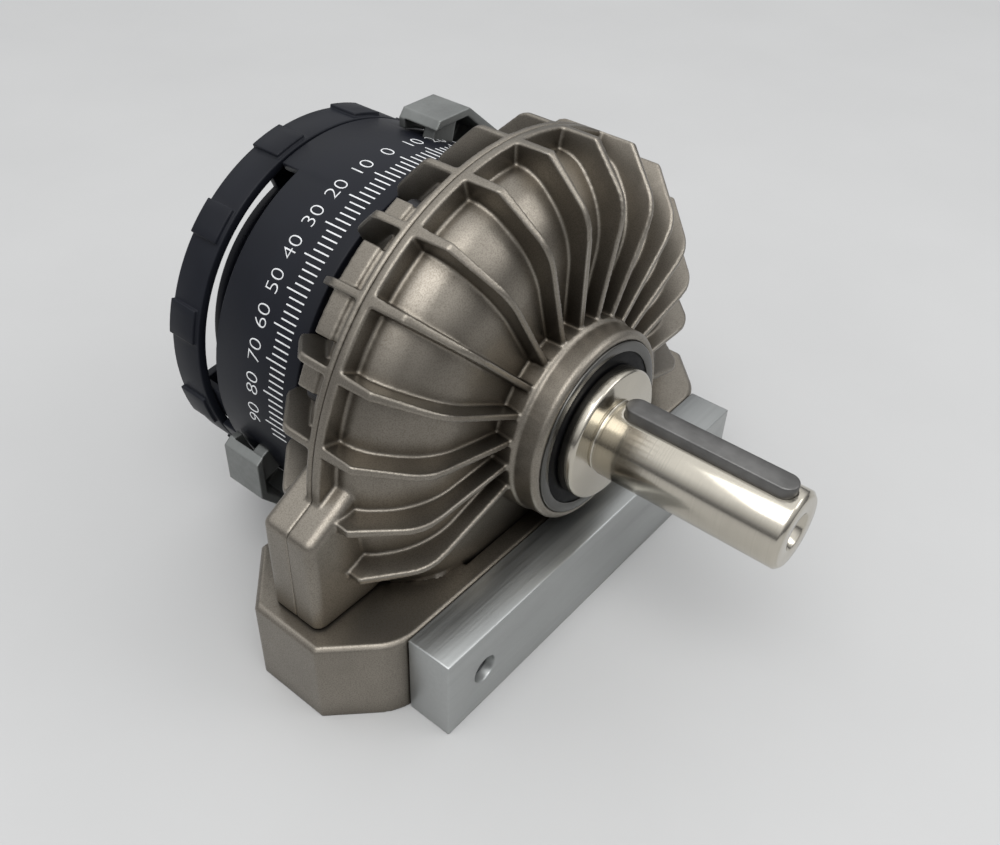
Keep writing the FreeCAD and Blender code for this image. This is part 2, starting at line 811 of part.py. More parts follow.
def make_bearing(prefix, start):
    """Sealed bearing: inner and outer ring and two shields; start is its lower y."""
    end = "%s + bearing_width" % start
    outer = new_body(prefix + "_bearing_outer")
    tube(outer, "Ring", start, end, "outer_land_dia/2", "bearing_dia/2")
    inner = new_body(prefix + "_bearing_inner")
    tube(inner, "Ring", start, end, "journal_dia/2", "inner_land_dia/2")
    shields = new_body(prefix + "_bearing_shields")
    front = "%s + shield_sunk" % start
    rear = "%s - shield_thick - shield_sunk" % end
    for name, low in (("Front", front), ("Rear", rear)):
        tube(shields, name, low, low + " + shield_thick", "inner_land_dia/2 + shield_gap", "outer_land_dia/2")


def make_shaft_seal(label, low, high):
    """Lip seal: a collar of rubber with a V-shaped hollow towards the chamber."""
    lip = "journal_dia/2 + running_fit"
    middle = "(journal_dia + seal_dia)/4"
    body = new_body(label)
    turn(body, "Lip", [
        (low, lip),
        (high, lip),
        (high, "%s - lip_half" % middle),
        ("((%s) + (%s))/2" % (low, high), middle),
        (high, "%s + lip_half" % middle),
        (high, "seal_dia/2"),
        (low, "seal_dia/2"),
    ])


def make_shaft():
    body = new_body("drive_shaft")
    collar_back = "(hub_front + bearing_proud)"
    clip_start = "boss_end"
    clip_end = "boss_end + circlip_thick + 2*seat_play"
    turn(body, "Turned", [
        ("-shaft_end + centre_depth", "0"),
        ("-shaft_end + centre_depth", "centre_dia/2"),
        ("-shaft_end + (centre_sink_dia - centre_dia)*centre_sink_slope", "centre_dia/2"),
        ("-shaft_end", "centre_sink_dia/2"),
        ("-shaft_end", "shaft_dia/2 - edge_break"),
        ("-shaft_end + edge_break", "shaft_dia/2"),
        ("-collar_front - neck_length", "shaft_dia/2"),
        ("-collar_front - neck_length", "shaft_dia/2 - neck_depth"),
        ("-collar_front", "shaft_dia/2 - neck_depth"),
        ("-collar_front", "collar_dia/2 - edge_break/2"),
        ("-collar_front + edge_break/2", "collar_dia/2"),
        ("-" + collar_back, "collar_dia/2"),
        ("-" + collar_back, "journal_dia/2"),
        (clip_start, "journal_dia/2"),
        (clip_start, "circlip_seat_dia/2"),
        (clip_end, "circlip_seat_dia/2"),
        (clip_end, "journal_dia/2"),
        (clip_end + " + circlip_land", "journal_dia/2"),
        (clip_end + " + circlip_land", "shaft_dia/2"),
        ("shaft_tail - edge_break", "shaft_dia/2"),
        ("shaft_tail", "shaft_dia/2 - edge_break"),
        ("shaft_tail", "0"),
    ])
    along_z(body, "KeySeat", "shaft_dia/2 - key_seat", "shaft_dia/2 + overrun", [key_outline()], cut=True)

    key = new_body("shaft_key")
    along_z(key, "Key", "shaft_dia/2 - key_seat", "shaft_dia/2 - key_seat + key_height", [key_outline()])

    clip = new_body("shaft_circlip")
    tube(clip, "Ring", clip_start, clip_start + " + circlip_thick", "circlip_seat_dia/2", "circlip_dia/2")
    along_y(clip, "Gap", "boss_end - overrun", "boss_end + circlip_thick + overrun",
            [box("-circlip_opening/2", "circlip_opening/2", "-circlip_dia", "0")], cut=True)


def key_outline():
    half = "key_width/2"
    front = "-shaft_end + key_margin"
    back = "-shaft_end + key_margin + key_length"
    return [
        (half, "%s + %s" % (front, half)),
        (half, "%s - %s" % (back, half), half, True),
        ("0", back, half, True),
        ("-" + half, "%s - %s" % (back, half)),
        ("-" + half, "%s + %s" % (front, half), half, True),
        ("0", front, half, True),
    ]


def make_vane():
    front = "-chamber_front + running_fit"
    rear = "chamber_rear - running_fit"
    tip = "(chamber_dia/2 - 3*running_fit)"
    body = new_body("vane")
    tube(body, "Sleeve", front, rear, "journal_dia/2", "sleeve_dia/2")
    along_x(body, "Blade", "-vane_thick/2", "vane_thick/2", [
        box("%s + vane_seal_width" % front, "%s - vane_seal_width" % rear,
            "journal_dia/2 + overrun", "%s - vane_seal_width" % tip)
    ])
    seal = new_body("vane_seal")
    root = "sleeve_dia/2 + seat_play"
    along_x(seal, "Frame", "-vane_seal_thick/2", "vane_seal_thick/2", [[
        (front, root),
        (front, tip),
        (rear, tip),
        (rear, root),
        ("%s - vane_seal_width" % rear, root),
        ("%s - vane_seal_width" % rear, "%s - vane_seal_width" % tip),
        ("%s + vane_seal_width" % front, "%s - vane_seal_width" % tip),
        ("%s + vane_seal_width" % front, root),
    ]])


def make_foot():
    body = new_body("mounting_foot", on_axis=False)
    run = "foot_corner*tan(22.5)"
    slant_x = "(foot_half - foot_front + foot_straight)"
    rear_x = "(foot_half - foot_rear + foot_straight)"
    right = [
        (slant_x + " - " + run, "-foot_front", "foot_corner", True),
        (slant_x + " + %s*sin(45)" % run, "-foot_front + %s*sin(45)" % run),
        ("foot_half", "-foot_straight"),
        ("foot_half", "foot_straight"),
        (rear_x, "foot_rear"),
        (FOOT_EAR, "foot_rear"),
        (FOOT_EAR, "foot_waist"),
    ]
    left = [("-(%s)" % x, y) for x, y, *arc in reversed(right)]
    left[5] = left[5] + ("foot_corner", True)
    along_z(body, "Block", "0", "foot_height", [right + left])
    height = value("foot_height")

    def top_edge(edge):
        return all(abs(vertex.Point.z - height) < NEAR for vertex in edge.Vertexes)

    dress(body, "TopBevel", "PartDesign::Chamfer", "Size", "foot_bevel", top_edge)
    along_y(body, "SumpPocket", "-dome_face - pocket_gap", "foot_waist", [sump_room()], cut=True)
    along_z(body, "FloorHoles", "0", "axis_height - sump_depth",
            foot_holes("screw_dia + hole_play"), cut=True)
    along_z(body, "FloorSinks", "0", "foot_screw_head + head_gap", foot_holes("sink_dia"), cut=True)
    base_holes = [(side + "(foot_half - base_hole_inset)", end + "base_hole_y", "base_hole_dia")
                  for side, name in SIDES for end in ("-", "")]
    along_z(body, "BaseHoles", "0", "base_hole_depth", base_holes, cut=True)
    along_y(body, "BarHoles", "-foot_front", "-foot_front + bar_screw_length",
            bar_holes("small_screw_dia"), cut=True)
    along_y(body, "Ports", "foot_waist - port_depth", "foot_waist",
            [(side + PORT_X, "port_z", "port_dia") for side, name in SIDES], cut=True)
    seat = [("duct_y", "axis_height - duct_drop", "duct_sleeve_dia + 2*seat_play")]
    along_x(body, "LeftDuct", "-" + PORT_X, "-chamber_dia/4", seat, cut=True)
    along_x(body, "RightDuct", "chamber_dia/4", PORT_X, seat, cut=True)


def foot_holes(diameter):
    return [(side + "foot_screw_x", y, diameter)
            for side, name in SIDES for y in ("-foot_screw_front", "foot_screw_rear")]


def bar_holes(diameter):
    return [(side + "bar_hole_x", "bar_hole_z", diameter) for side, name in SIDES]


def sump_room():
    """Outline of the room for the sump, open at the top."""
    radius = "(sump_dia/2 + pocket_gap)"
    level = "(axis_height - foot_height - foot_bevel)"
    side = "sqrt(%s^2 - %s^2)" % (radius, level)
    foot = "sqrt(%s^2 - sump_depth^2)" % radius
    floor = "axis_height - sump_depth"
    return [
        ("-" + side, "axis_height - " + level, radius, True),
        ("-" + foot, floor),
        (foot, floor, radius, True),
        (side, "axis_height - " + level),
        (side, "foot_height + 2*foot_bevel"),
        ("-" + side, "foot_height + 2*foot_bevel"),
    ]


def make_foot_fittings():
    screws = []
    for side, name in SIDES:
        for y, end in (("-foot_screw_front", "Front"), ("foot_screw_rear", "Rear")):
            spot = (side + "foot_screw_x", y, "foot_screw_head + head_gap")
            length = "foot_screw_length - head_gap"
            screws.append(cap_screw("FootScrew" + name + end, spot, "+Z", length,
                                    "screw_dia", "screw_head_dia", "foot_screw_head"))
    group("foot_screws", screws)

    bar = new_body("mounting_bar", on_axis=False)
    bar_front = "-foot_front - bar_depth"
    head_seat = bar_front + " + bar_screw_sunk + small_head"
    along_z(bar, "Bar", "0", "bar_height", [box("-bar_half", "bar_half", bar_front, "-foot_front")])
    along_y(bar, "Holes", bar_front, "-foot_front", bar_holes("small_screw_dia + hole_play"), cut=True)
    along_y(bar, "Sinks", bar_front, head_seat, bar_holes("small_head_dia + hole_play"), cut=True)
    screws = []
    for side, name in SIDES:
        spot = (side + "bar_hole_x", head_seat, "bar_hole_z")
        screws.append(cap_screw("BarScrew" + name, spot, "+Y", "bar_screw_length"))
    group("bar_screws", screws)

    sleeves = []
    for side, name in SIDES:
        axis = "-X" if side else "+X"
        spot = (side + SLEEVE_IN, "duct_y", "axis_height - duct_drop")
        sleeve = doc.addObject("Part::Cut", "Sleeve" + name)
        sleeve.Base = cylinder("SleeveBody" + name, "duct_sleeve_dia", "duct_sleeve_length", spot, axis)
        sleeve.Tool = cylinder("SleeveBore" + name, "duct_dia", "duct_sleeve_length", spot, axis)
        sleeves.append(sleeve)
    group("air_sleeves", sleeves)


def stop_paths(inner, outer, margin):
    """Arcs along which the two stops can be shifted outwards, away from the marked part of the ring."""
    return [
        sector(inner, outer, "top_stop_angle - " + margin, "top_stop_angle + stop_travel_angle + " + margin),
        sector(inner, outer, "left_stop_angle - stop_travel_angle - " + margin, "left_stop_angle + " + margin),
    ]


def make_scale_ring():
    inner = RING_INSIDE
    disc_end = "boss_end + ring_disc"
    body = new_body("scale_ring")
    turn(body, "Band", [
        ("ring_front", inner),
        ("ring_front", RING),
        ("ring_end", RING),
        ("ring_end", inner),
        (disc_end, inner),
        (disc_end, "ring_bore_dia/2"),
        ("boss_end", "ring_bore_dia/2"),
        ("boss_end", inner),
    ])
    along_y(body, "Window", "window_front", "ring_end + overrun", [
        sector(RING_INSIDE + " - ring_wall", RING + " + overrun", "-window_low_angle", "-window_top_angle")
    ], cut=True)
    along_y(body, "StopTracks", "boss_end - overrun", disc_end + " + overrun",
            stop_paths(TRACK_IN, TRACK_OUT, "track_margin_angle"), cut=True)
    along_y(body, "StopSlots", "block_end - stop_gap", "lug_end + stop_gap",
            stop_paths(RING_INSIDE + " - overrun", RING + " + overrun", "slot_margin_angle"), cut=True)
    sink = disc_end + " - ring_screw_sink"
    along_y(body, "ScrewHoles", "boss_end", disc_end,
            ring_screw_holes("small_screw_dia + hole_play"), cut=True)
    along_y(body, "ScrewSinks", sink, disc_end, ring_screw_holes("small_head_dia + hole_play"), cut=True)

    screws = []
    for angle in RING_SCREW_ANGLES:
        spot = on_circle("ring_screw_circle/2", angle, sink)
        length = "ring_disc - ring_screw_sink + ring_screw_reach - overrun"
        screws.append(cap_screw("RingScrew%d" % angle, spot, "-Y", length, head="ring_screw_head"))
    group("scale_ring_screws", screws)


def make_rear_cap():
    """Grip cap: a rim, a rear wall with access windows, and snap tabs that reach into the scale ring."""
    inner = RING_INSIDE
    tab = "(%s - tab_gap)" % inner
    wall_end = "cap_wall_front + cap_wall"
    body = new_body("rear_cap")
    turn(body, "Rim", [
        ("cap_front", inner),
        ("cap_front", RING),
        ("cap_end", RING),
        ("cap_end", inner),
        (wall_end, inner),
        (wall_end, "0"),
        ("cap_wall_front", "0"),
        ("cap_wall_front", inner),
    ])
    grip_start = "%s - grip_half_angle" % (180 / GRIPS)
    grip_stop = "%s + grip_half_angle" % (180 / GRIPS)
    grip = along_y(body, "Grip", "cap_front + edge_break", "cap_end", [
        sector(RING + " - overrun", "(%s + grip_height)" % RING, grip_start, grip_stop)
    ])
    fan(body, "Grips", [grip], str(GRIPS - 1), str(360 / GRIPS))
    window_start = "window_middle_angle - window_half_angle"
    window_stop = "window_middle_angle + window_half_angle"
    window = along_y(body, "AccessWindow", "cap_wall_front - overrun", wall_end + " + overrun", [
        sector("(%s - cap_window_width)" % RING_INSIDE, tab, window_start, window_stop)
    ], cut=True)
    fan(body, "AccessWindows", [window], str(CAP_WINDOWS - 1), str(360 / CAP_WINDOWS))
    pitch = 360 / CAP_WINDOWS
    webs = ["window_middle_angle + %d" % (pitch / 2 + pitch * k) for k in range(1, CAP_WINDOWS)]
    along_y(body, "Tabs", "tab_front", "cap_wall_front + overrun", [
        sector("(%s - tab_wall)" % tab, tab, web + " - tab_half_angle", web + " + tab_half_angle")
        for web in webs
    ])


def hood_shapes():
    """Outer and inner outline of a hood; both are closed inside the ring, and the near side is left open."""
    near = "(%s - hood_step)" % HOOD_NEAR
    knee = HOOD_TOP + " - hood_knee"
    under = HOOD_TOP + " - hood_wall"
    below = RING_INSIDE + " - overrun"
    end = ("(%s + hood_flare)" % HOOD_FAR, "(%s - hood_fall)" % HOOD_TOP)
    inner_end = ("(%s - 3*hood_wall/2)" % end[0], "(%s - hood_wall/4)" % end[1])
    outer = [
        (near, below),
        (near, knee),
        (HOOD_NEAR, HOOD_TOP),
        (HOOD_FAR, HOOD_TOP),
        end,
        (end[0] + "*hood_inward", end[1] + "*hood_inward"),
    ]
    inner = [
        (near + " - overrun", below + " - overrun"),
        (near + " - overrun", knee),
        (near + " + hood_wall/2", knee),
        (HOOD_NEAR + " + hood_wall/2", under),
        (HOOD_FAR + " - hood_wall/2", under),
        inner_end,
        (inner_end[0] + "*hood_inward", inner_end[1] + "*hood_inward"),
    ]
    return outer, inner


def make_stop(prefix, angle, hood_angle, mirrored):
    """Adjustable stop: hood on the ring, its tongue through the ring, block clamped to the ring's disc."""

    def across(points):
        return [("-(%s)" % x if mirrored else x, y) for x, y in points]

    outer, inner = hood_shapes()
    lean = "stop_lean_angle"
    body = new_body(prefix + "_stop_bracket", angle=hood_angle)
    along_y(body, "Hood", "hood_front", "hood_end", [across(outer)])
    along_y(body, "Socket", "hood_front", "hood_end - hood_wall", [across(inner)], cut=True)
    along_y(body, "RingRoom", "hood_front", "hood_end", [("0", "0", "2*(%s + stop_gap)" % RING)], cut=True)
    along_y(body, "Tongue", "block_end + seat_play", "lug_end", [across([
        turned("-tongue_half", TRACK_IN, lean),
        turned("tongue_half", TRACK_IN, lean),
        turned("tongue_half", RING + " + overrun", lean),
        (HOOD_FAR + " - hood_wall", HOOD_TOP + " - hood_wall/2"),
        (HOOD_NEAR + " + hood_wall", HOOD_TOP + " - hood_wall/2"),
        turned("-tongue_half", RING + " + overrun", lean),
    ])])
    screw_spot = across([turned("0", TRACK_MIDDLE, lean)])[0]
    along_y(body, "ScrewHole", "block_end", "lug_end",
            [screw_spot + ("small_screw_dia + hole_play",)], cut=True)

    nut = new_body(prefix + "_stop_nut", angle=angle)
    along_y(nut, "Root", "rear_face + stop_gap", "boss_end - stop_gap",
            [box("-stop_half", "stop_half", "boss_dia/2 + stop_gap", TRACK_OUT + " - stop_gap")])
    along_y(nut, "Key", "boss_end - overrun", "boss_end + ring_disc - stop_gap",
            [box("-stop_half", "stop_half", TRACK_IN + " + stop_gap", TRACK_OUT + " - 2*stop_gap")])
    along_y(nut, "ScrewHole", "stop_screw_end", "boss_end + ring_disc",
            [("0", TRACK_MIDDLE, "small_screw_dia")], cut=True)

    block = new_body(prefix + "_stop_block", angle=angle)
    block_front = "boss_end + ring_disc + 2*seat_play"
    along_y(block, "Block", block_front, "block_end",
            [box("-block_half", "block_half", TRACK_IN + " - block_side", TRACK_OUT + " + block_side")])
    along_y(block, "Hole", block_front, "block_end",
            [("0", TRACK_MIDDLE, "small_screw_dia + hole_play")], cut=True)

    buffer = new_body(prefix + "_stop_buffer", angle=angle)
    button = [("lever_front + lever_thick/2", TRACK_MIDDLE, "buffer_dia")]
    low = "block_half" if mirrored else "-block_half - buffer_thick"
    along_x(buffer, "Button", low, low + " + buffer_thick", button)

    screw = new_body(prefix + "_stop_screw", angle=angle)
    along_y(screw, "Shank", "stop_screw_end + head_gap", "lug_end + overrun",
            [("0", TRACK_MIDDLE, "small_screw_dia - 2*screw_fit")])
    along_y(screw, "Head", "lug_end", "lug_end + small_head", [("0", TRACK_MIDDLE, "small_head_dia")])


def make_lever():
    body = new_body("stop_lever", angle="lever_angle")
    end = "lever_front + lever_thick"
    tube(body, "Hub", "lever_front", end, "shaft_dia/2", "lever_hub_dia/2")
    along_y(body, "Arm", "lever_front", end, [[
        ("-lever_half", "shaft_dia/2 + lever_root"),
        ("lever_half", "shaft_dia/2 + lever_root"),
        ("lever_half", RING_INSIDE + " - lever_gap - edge_break"),
        ("lever_half - edge_break", RING_INSIDE + " - lever_gap"),
        ("-lever_half + edge_break", RING_INSIDE + " - lever_gap"),
        ("-lever_half", RING_INSIDE + " - lever_gap - edge_break"),
    ]])
    along_y(body, "Lugs", "lever_front", end,
            [box("-lever_lug", "lever_lug", "-lever_lug_drop", "-shaft_dia/2 - lever_root")])
    along_y(body, "Slit", "lever_front", end, [
        box("-lever_slit/2", "lever_slit/2", "-lever_lug_drop - overrun", "-shaft_dia/2 + overrun")
    ], cut=True)
    middle_y = "lever_front + lever_thick/2"
    drop = "-(lever_lug_drop + lever_hub_dia/2)/2"
    along_x(body, "ScrewHole", "-lever_lug - overrun", "lever_lug + overrun",
            [(middle_y, drop, "small_screw_dia")], cut=True)

    screw = new_body("lever_screw", angle="lever_angle")
    along_x(screw, "Shank", "-lever_lug + overrun", "lever_lug + overrun",
            [(middle_y, drop, "small_screw_dia - 2*screw_fit")])
    along_x(screw, "Head", "lever_lug", "lever_lug + small_head", [(middle_y, drop, "small_head_dia")])


make_front_housing()
make_rear_housing()
make_housing_fittings()
make_stator()
make_bearing("front", "(-hub_front - bearing_proud)")
make_bearing("rear", REAR_BEARING_FRONT)
make_shaft_seal("front_shaft_seal", "-" + FRONT_BEARING_BACK, "-chamber_front")
make_shaft_seal("rear_shaft_seal", REAR_BEARING_FRONT, "chamber_rear")
make_shaft()
make_vane()
make_foot()
make_foot_fittings()
make_scale_ring()
make_rear_cap()
make_lever()
make_stop("top", "top_stop_angle", "top_stop_angle - stop_lean_angle", False)
make_stop("left", "left_stop_angle", "left_stop_angle + stop_lean_angle", True)
doc.recompute()

for thing in doc.Objects:
    if "Invalid" in thing.State or "Error" in thing.State:
        raise RuntimeError("%s failed: %s" % (thing.Label, thing.State))
os.makedirs("parts", exist_ok=True)
for thing in NODES:
    if thing.Shape.isNull() or not thing.Shape.isValid():
        raise RuntimeError("%s has no valid solid" % thing.Label)
    thing.Shape.exportStep(os.path.join("parts", thing.Label + ".step"))
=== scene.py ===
import bpy
import bmesh
import json
import numpy
from bpy.props import FloatProperty, FloatVectorProperty, IntProperty, PointerProperty
from math import cos, degrees, radians, sin
from mathutils import Matrix, Vector


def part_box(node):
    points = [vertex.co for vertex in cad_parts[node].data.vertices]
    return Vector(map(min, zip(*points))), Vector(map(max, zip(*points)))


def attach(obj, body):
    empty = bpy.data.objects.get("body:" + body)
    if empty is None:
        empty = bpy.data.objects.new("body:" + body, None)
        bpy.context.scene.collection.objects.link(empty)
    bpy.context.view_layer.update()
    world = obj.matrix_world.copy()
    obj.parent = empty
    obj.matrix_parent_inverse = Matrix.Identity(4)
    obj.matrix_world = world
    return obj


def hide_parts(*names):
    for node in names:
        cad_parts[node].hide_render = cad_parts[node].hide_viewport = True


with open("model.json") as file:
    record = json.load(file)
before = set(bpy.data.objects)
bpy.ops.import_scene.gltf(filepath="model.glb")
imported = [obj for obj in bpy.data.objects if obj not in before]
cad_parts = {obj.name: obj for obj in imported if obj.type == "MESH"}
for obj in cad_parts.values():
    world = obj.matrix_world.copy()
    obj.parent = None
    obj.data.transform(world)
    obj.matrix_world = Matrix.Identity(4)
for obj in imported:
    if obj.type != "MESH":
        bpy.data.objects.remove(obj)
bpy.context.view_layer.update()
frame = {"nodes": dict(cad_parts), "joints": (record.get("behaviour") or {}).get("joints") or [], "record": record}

bl_info = {
    "name": "Semi-rotary vane drive",
    "version": (1, 0, 0),
    "blender": (4, 5, 0),
    "location": "View3D > Sidebar > Drive",
    "description": "Dresses the packed model of a pneumatic semi-rotary vane drive",
    "category": "Object",
}

NODES = frame["nodes"]
BODIES = frame["record"]["behaviour"]["bodies"]
BODY_OF = {node: body for body, nodes in BODIES.items() for node in nodes}
SHAFT_AXIS = Vector(frame["joints"][0]["pos_m"])
RING_LOW, RING_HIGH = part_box("scale_ring")
RING_RADIUS = (RING_HIGH.x - RING_LOW.x) / 2
MM = 0.001


# Sizes and colours that a user may change

class ScaleMarks(bpy.types.PropertyGroup):
    """Printed angle scale on the black ring."""
    step: FloatProperty(name="Step", description="Angle between two ticks", default=radians(2), subtype="ANGLE")
    reach: IntProperty(name="Ticks each side", description="Ticks on each side of zero", default=47, min=1)
    every: IntProperty(
        name="Long tick every", description="One tick in this many is a long one", default=5, min=1)
    zero: FloatProperty(
        name="Zero", description="Angle of the zero mark from straight up",
        default=radians(-1.3), subtype="ANGLE")
    front: FloatProperty(
        name="Front end", description="Where the ticks start along the shaft", default=26.8 * MM, unit="LENGTH")
    long_length: FloatProperty(
        name="Long tick", description="Length of a long tick", default=6.9 * MM, unit="LENGTH")
    short_length: FloatProperty(
        name="Short tick", description="Length of a short tick", default=5.1 * MM, unit="LENGTH")
    width: FloatProperty(name="Tick width", description="Width of a tick", default=0.37 * MM, unit="LENGTH")
    ink: FloatProperty(name="Ink", description="Thickness of the print", default=0.06 * MM, unit="LENGTH")
    number_height: FloatProperty(
        name="Number height", description="Height of the figures", default=4.0 * MM, unit="LENGTH")
    number_middle: FloatProperty(
        name="Number place", description="Middle of the figures along the shaft",
        default=38.1 * MM, unit="LENGTH")


class Finishes(bpy.types.PropertyGroup):
    """Colours of the drive's surfaces."""
    casting: FloatVectorProperty(
        name="Casting", description="Blasted cast alloy", default=(0.255, 0.232, 0.198), subtype="COLOR")
    # Dark grain of the casting, and the painted shade that darkens its corners and recesses
    casting_dark: FloatVectorProperty(
        name="Casting grain and shade", description="Dark grain of the cast alloy, and painted shade in its corners",
        default=(0.062, 0.051, 0.038), subtype="COLOR")
    # Light tone of the casting's open edges: partly wear, partly a painted highlight
    casting_worn: FloatVectorProperty(
        name="Casting edge", description="Cast alloy edges, lightened by wear and a painted highlight", default=(0.58, 0.55, 0.50), subtype="COLOR")
    bar: FloatVectorProperty(
        name="Bar", description="Brushed bar", default=(0.40, 0.41, 0.405), subtype="COLOR")
    shaft: FloatVectorProperty(
        name="Shaft", description="Plated shaft", default=(0.54, 0.505, 0.435), subtype="COLOR")
    key: FloatVectorProperty(
        name="Key", description="Drawn key steel", default=(0.155, 0.152, 0.148), subtype="COLOR")
    plastic: FloatVectorProperty(
        name="Ring", description="Black plastic of ring and cap",
        default=(0.008, 0.009, 0.013), subtype="COLOR")
    print_white: FloatVectorProperty(
        name="Print", description="White of ticks and figures", default=(0.74, 0.75, 0.76), subtype="COLOR")
    bracket: FloatVectorProperty(
        name="Brackets", description="Grey zinc of the stop brackets",
        default=(0.185, 0.192, 0.186), subtype="COLOR")
    rubber: FloatVectorProperty(
        name="Rubber", description="Seals and buffers", default=(0.004, 0.004, 0.0045), subtype="COLOR")
    bearing: FloatVectorProperty(
        name="Bearing", description="Ground bearing steel", default=(0.105, 0.103, 0.097), subtype="COLOR")
    screw: FloatVectorProperty(
        name="Screws", description="Blackened screw steel", default=(0.05, 0.05, 0.053), subtype="COLOR")
    stop: FloatVectorProperty(
        name="Stops", description="Milled steel of stops and lever", default=(0.33, 0.33, 0.34), subtype="COLOR")
    vane: FloatVectorProperty(
        name="Vane", description="Machined alloy of the vane", default=(0.50, 0.50, 0.51), subtype="COLOR")
    sleeve: FloatVectorProperty(
        name="Sleeves", description="Brass of the air sleeves", default=(0.60, 0.43, 0.17), subtype="COLOR")


class EdgeSizes(bpy.types.PropertyGroup):
    """Edges of the pieces, and details of the screws."""
    cast_cell: FloatProperty(
        name="Casting cell", description="Cell of the shell over a casting", default=0.36 * MM, unit="LENGTH")
    small_cell: FloatProperty(
        name="Bracket cell", description="Cell of the shell over a bracket", default=0.20 * MM, unit="LENGTH")
    cast_rounds: IntProperty(
        name="Casting rounds", description="How often a casting is smoothed", default=3, min=0)
    drum_round: FloatProperty(
        name="Drum round", description="Round between drum and slope", default=11 * MM, unit="LENGTH")
    face_round: FloatProperty(
        name="Face round", description="Round between slope and face", default=22 * MM, unit="LENGTH")
    most: FloatProperty(
        name="Most triangles", description="Triangles that a casting may have", default=185000, min=1000)
    bar: FloatProperty(name="Bar edge", description="Edge of bar and key", default=0.35 * MM, unit="LENGTH")
    machined: FloatProperty(
        name="Machined edge", description="Edge of turned and milled pieces", default=0.2 * MM, unit="LENGTH")
    moulded: FloatProperty(
        name="Moulded edge", description="Edge of the black ring and cap", default=0.3 * MM, unit="LENGTH")
    socket_share: FloatProperty(
        name="Socket share", description="Size of a screw's socket as a share of its head",
        default=0.52, min=0.1, max=0.8)
    knurl: FloatProperty(
        name="Knurl", description="Depth of the knurl on a screw's head", default=0.09 * MM, unit="LENGTH")


class StageLook(bpy.types.PropertyGroup):
    """Floor and light."""
    floor: FloatVectorProperty(
        name="Floor", description="Colour of the floor", default=(0.47, 0.47, 0.468), subtype="COLOR")
    backdrop: FloatVectorProperty(
        name="Backdrop", description="Colour behind the floor", default=(0.60, 0.60, 0.605), subtype="COLOR")
    walls: FloatVectorProperty(
        name="Walls", description="Light that comes from the sides", default=(0.10, 0.10, 0.105), subtype="COLOR")
    ceiling: FloatVectorProperty(
        name="Ceiling", description="Light that comes from above", default=(0.95, 0.96, 0.97), subtype="COLOR")
    sky: FloatProperty(name="Ambient", description="Strength of the light from all round", default=1.2, min=0)
    dark_up_to: FloatProperty(
        name="Walls up to", description="Height in the room below which the light is dim", default=0.08)
    bright_from: FloatProperty(
        name="Ceiling from", description="Height in the room above which the light is full", default=0.62)
    lamp: FloatProperty(name="Lamp", description="Power that the lamps share out", default=4.0, subtype="POWER")


# Small helpers for nodes

def feed(tree, socket, value):
    """Link a value into a socket, or set it there if it is a constant."""
    if isinstance(value, bpy.types.NodeSocket):
        tree.links.new(value, socket)
    else:
        socket.default_value = value


def add(tree, kind, **values):
    """New node; values set its sockets, or else its properties, by name."""
    made = tree.nodes.new(kind)
    for name, value in values.items():
        socket = made.inputs.get(name.replace("_", " "))
        if socket is None:
            setattr(made, name, value)
        else:
            feed(tree, socket, value)
    return made


def calc(tree, operation, first, second=None):
    """One step of arithmetic."""
    made = add(tree, "ShaderNodeMath", operation=operation)
    for socket, value in zip(made.inputs, (first, second)):
        if value is not None:
            feed(tree, socket, value)
    return made.outputs["Value"]


def vector(tree, x=0.0, y=0.0, z=0.0):
    """Vector put together from three values."""
    return add(tree, "ShaderNodeCombineXYZ", X=x, Y=y, Z=z).outputs[0]


def ranged(tree, value, low, high, new_low=0.0, new_high=1.0):
    """Value between low and high, spread over a new range and held inside it."""
    made = add(tree, "ShaderNodeMapRange", clamp=True, Value=value, From_Min=low, From_Max=high,
               To_Min=new_low, To_Max=new_high)
    return made.outputs["Result"]


def mixed(tree, factor, first, second):
    """Colour between two others."""
    made = add(tree, "ShaderNodeMix", data_type="RGBA", Factor=factor)
    colours = [socket for socket in made.inputs if socket.type == "RGBA"]
    for socket, value in zip(colours, (first, second)):
        feed(tree, socket, value)
    return next(socket for socket in made.outputs if socket.type == "RGBA")


def tint(colour, factor=1.0):
    """Colour made darker or lighter, with its alpha."""
    return tuple(channel * factor for channel in colour) + (1.0,)


# Helpers for finishes

NOISE_LOW = 0.3
NOISE_HIGH = 0.7
EDGE_TURNED = 0.80
EDGE_FLAT = 0.995
SHADER_RAYS = 6


def new_finish(name):
    """Material with an empty principled surface; gives material, tree and the surface's sockets."""
    made = bpy.data.materials.new(name)
    made.use_nodes = True
    tree = made.node_tree
    surface = next(node for node in tree.nodes if node.type == "BSDF_PRINCIPLED")
    return made, tree, surface.inputs


def noise(tree, scale, detail=3.0, roughness=0.55, stretch=(1, 1, 1)):
    """Noise over the piece's own coordinates."""
    place = add(tree, "ShaderNodeTexCoord").outputs["Object"]
    mapping = add(tree, "ShaderNodeMapping", Vector=place, Scale=stretch)
    made = add(tree, "ShaderNodeTexNoise", Vector=mapping.outputs["Vector"], Scale=scale, Detail=detail,
               Roughness=roughness)
    return made.outputs["Fac"]


def mottled(tree, value, colour, dark, light, low=NOISE_LOW, high=NOISE_HIGH):
    """Colour that a noise takes from a darker to a lighter tone."""
    return mixed(tree, ranged(tree, value, low, high), tint(colour, dark), tint(colour, light))


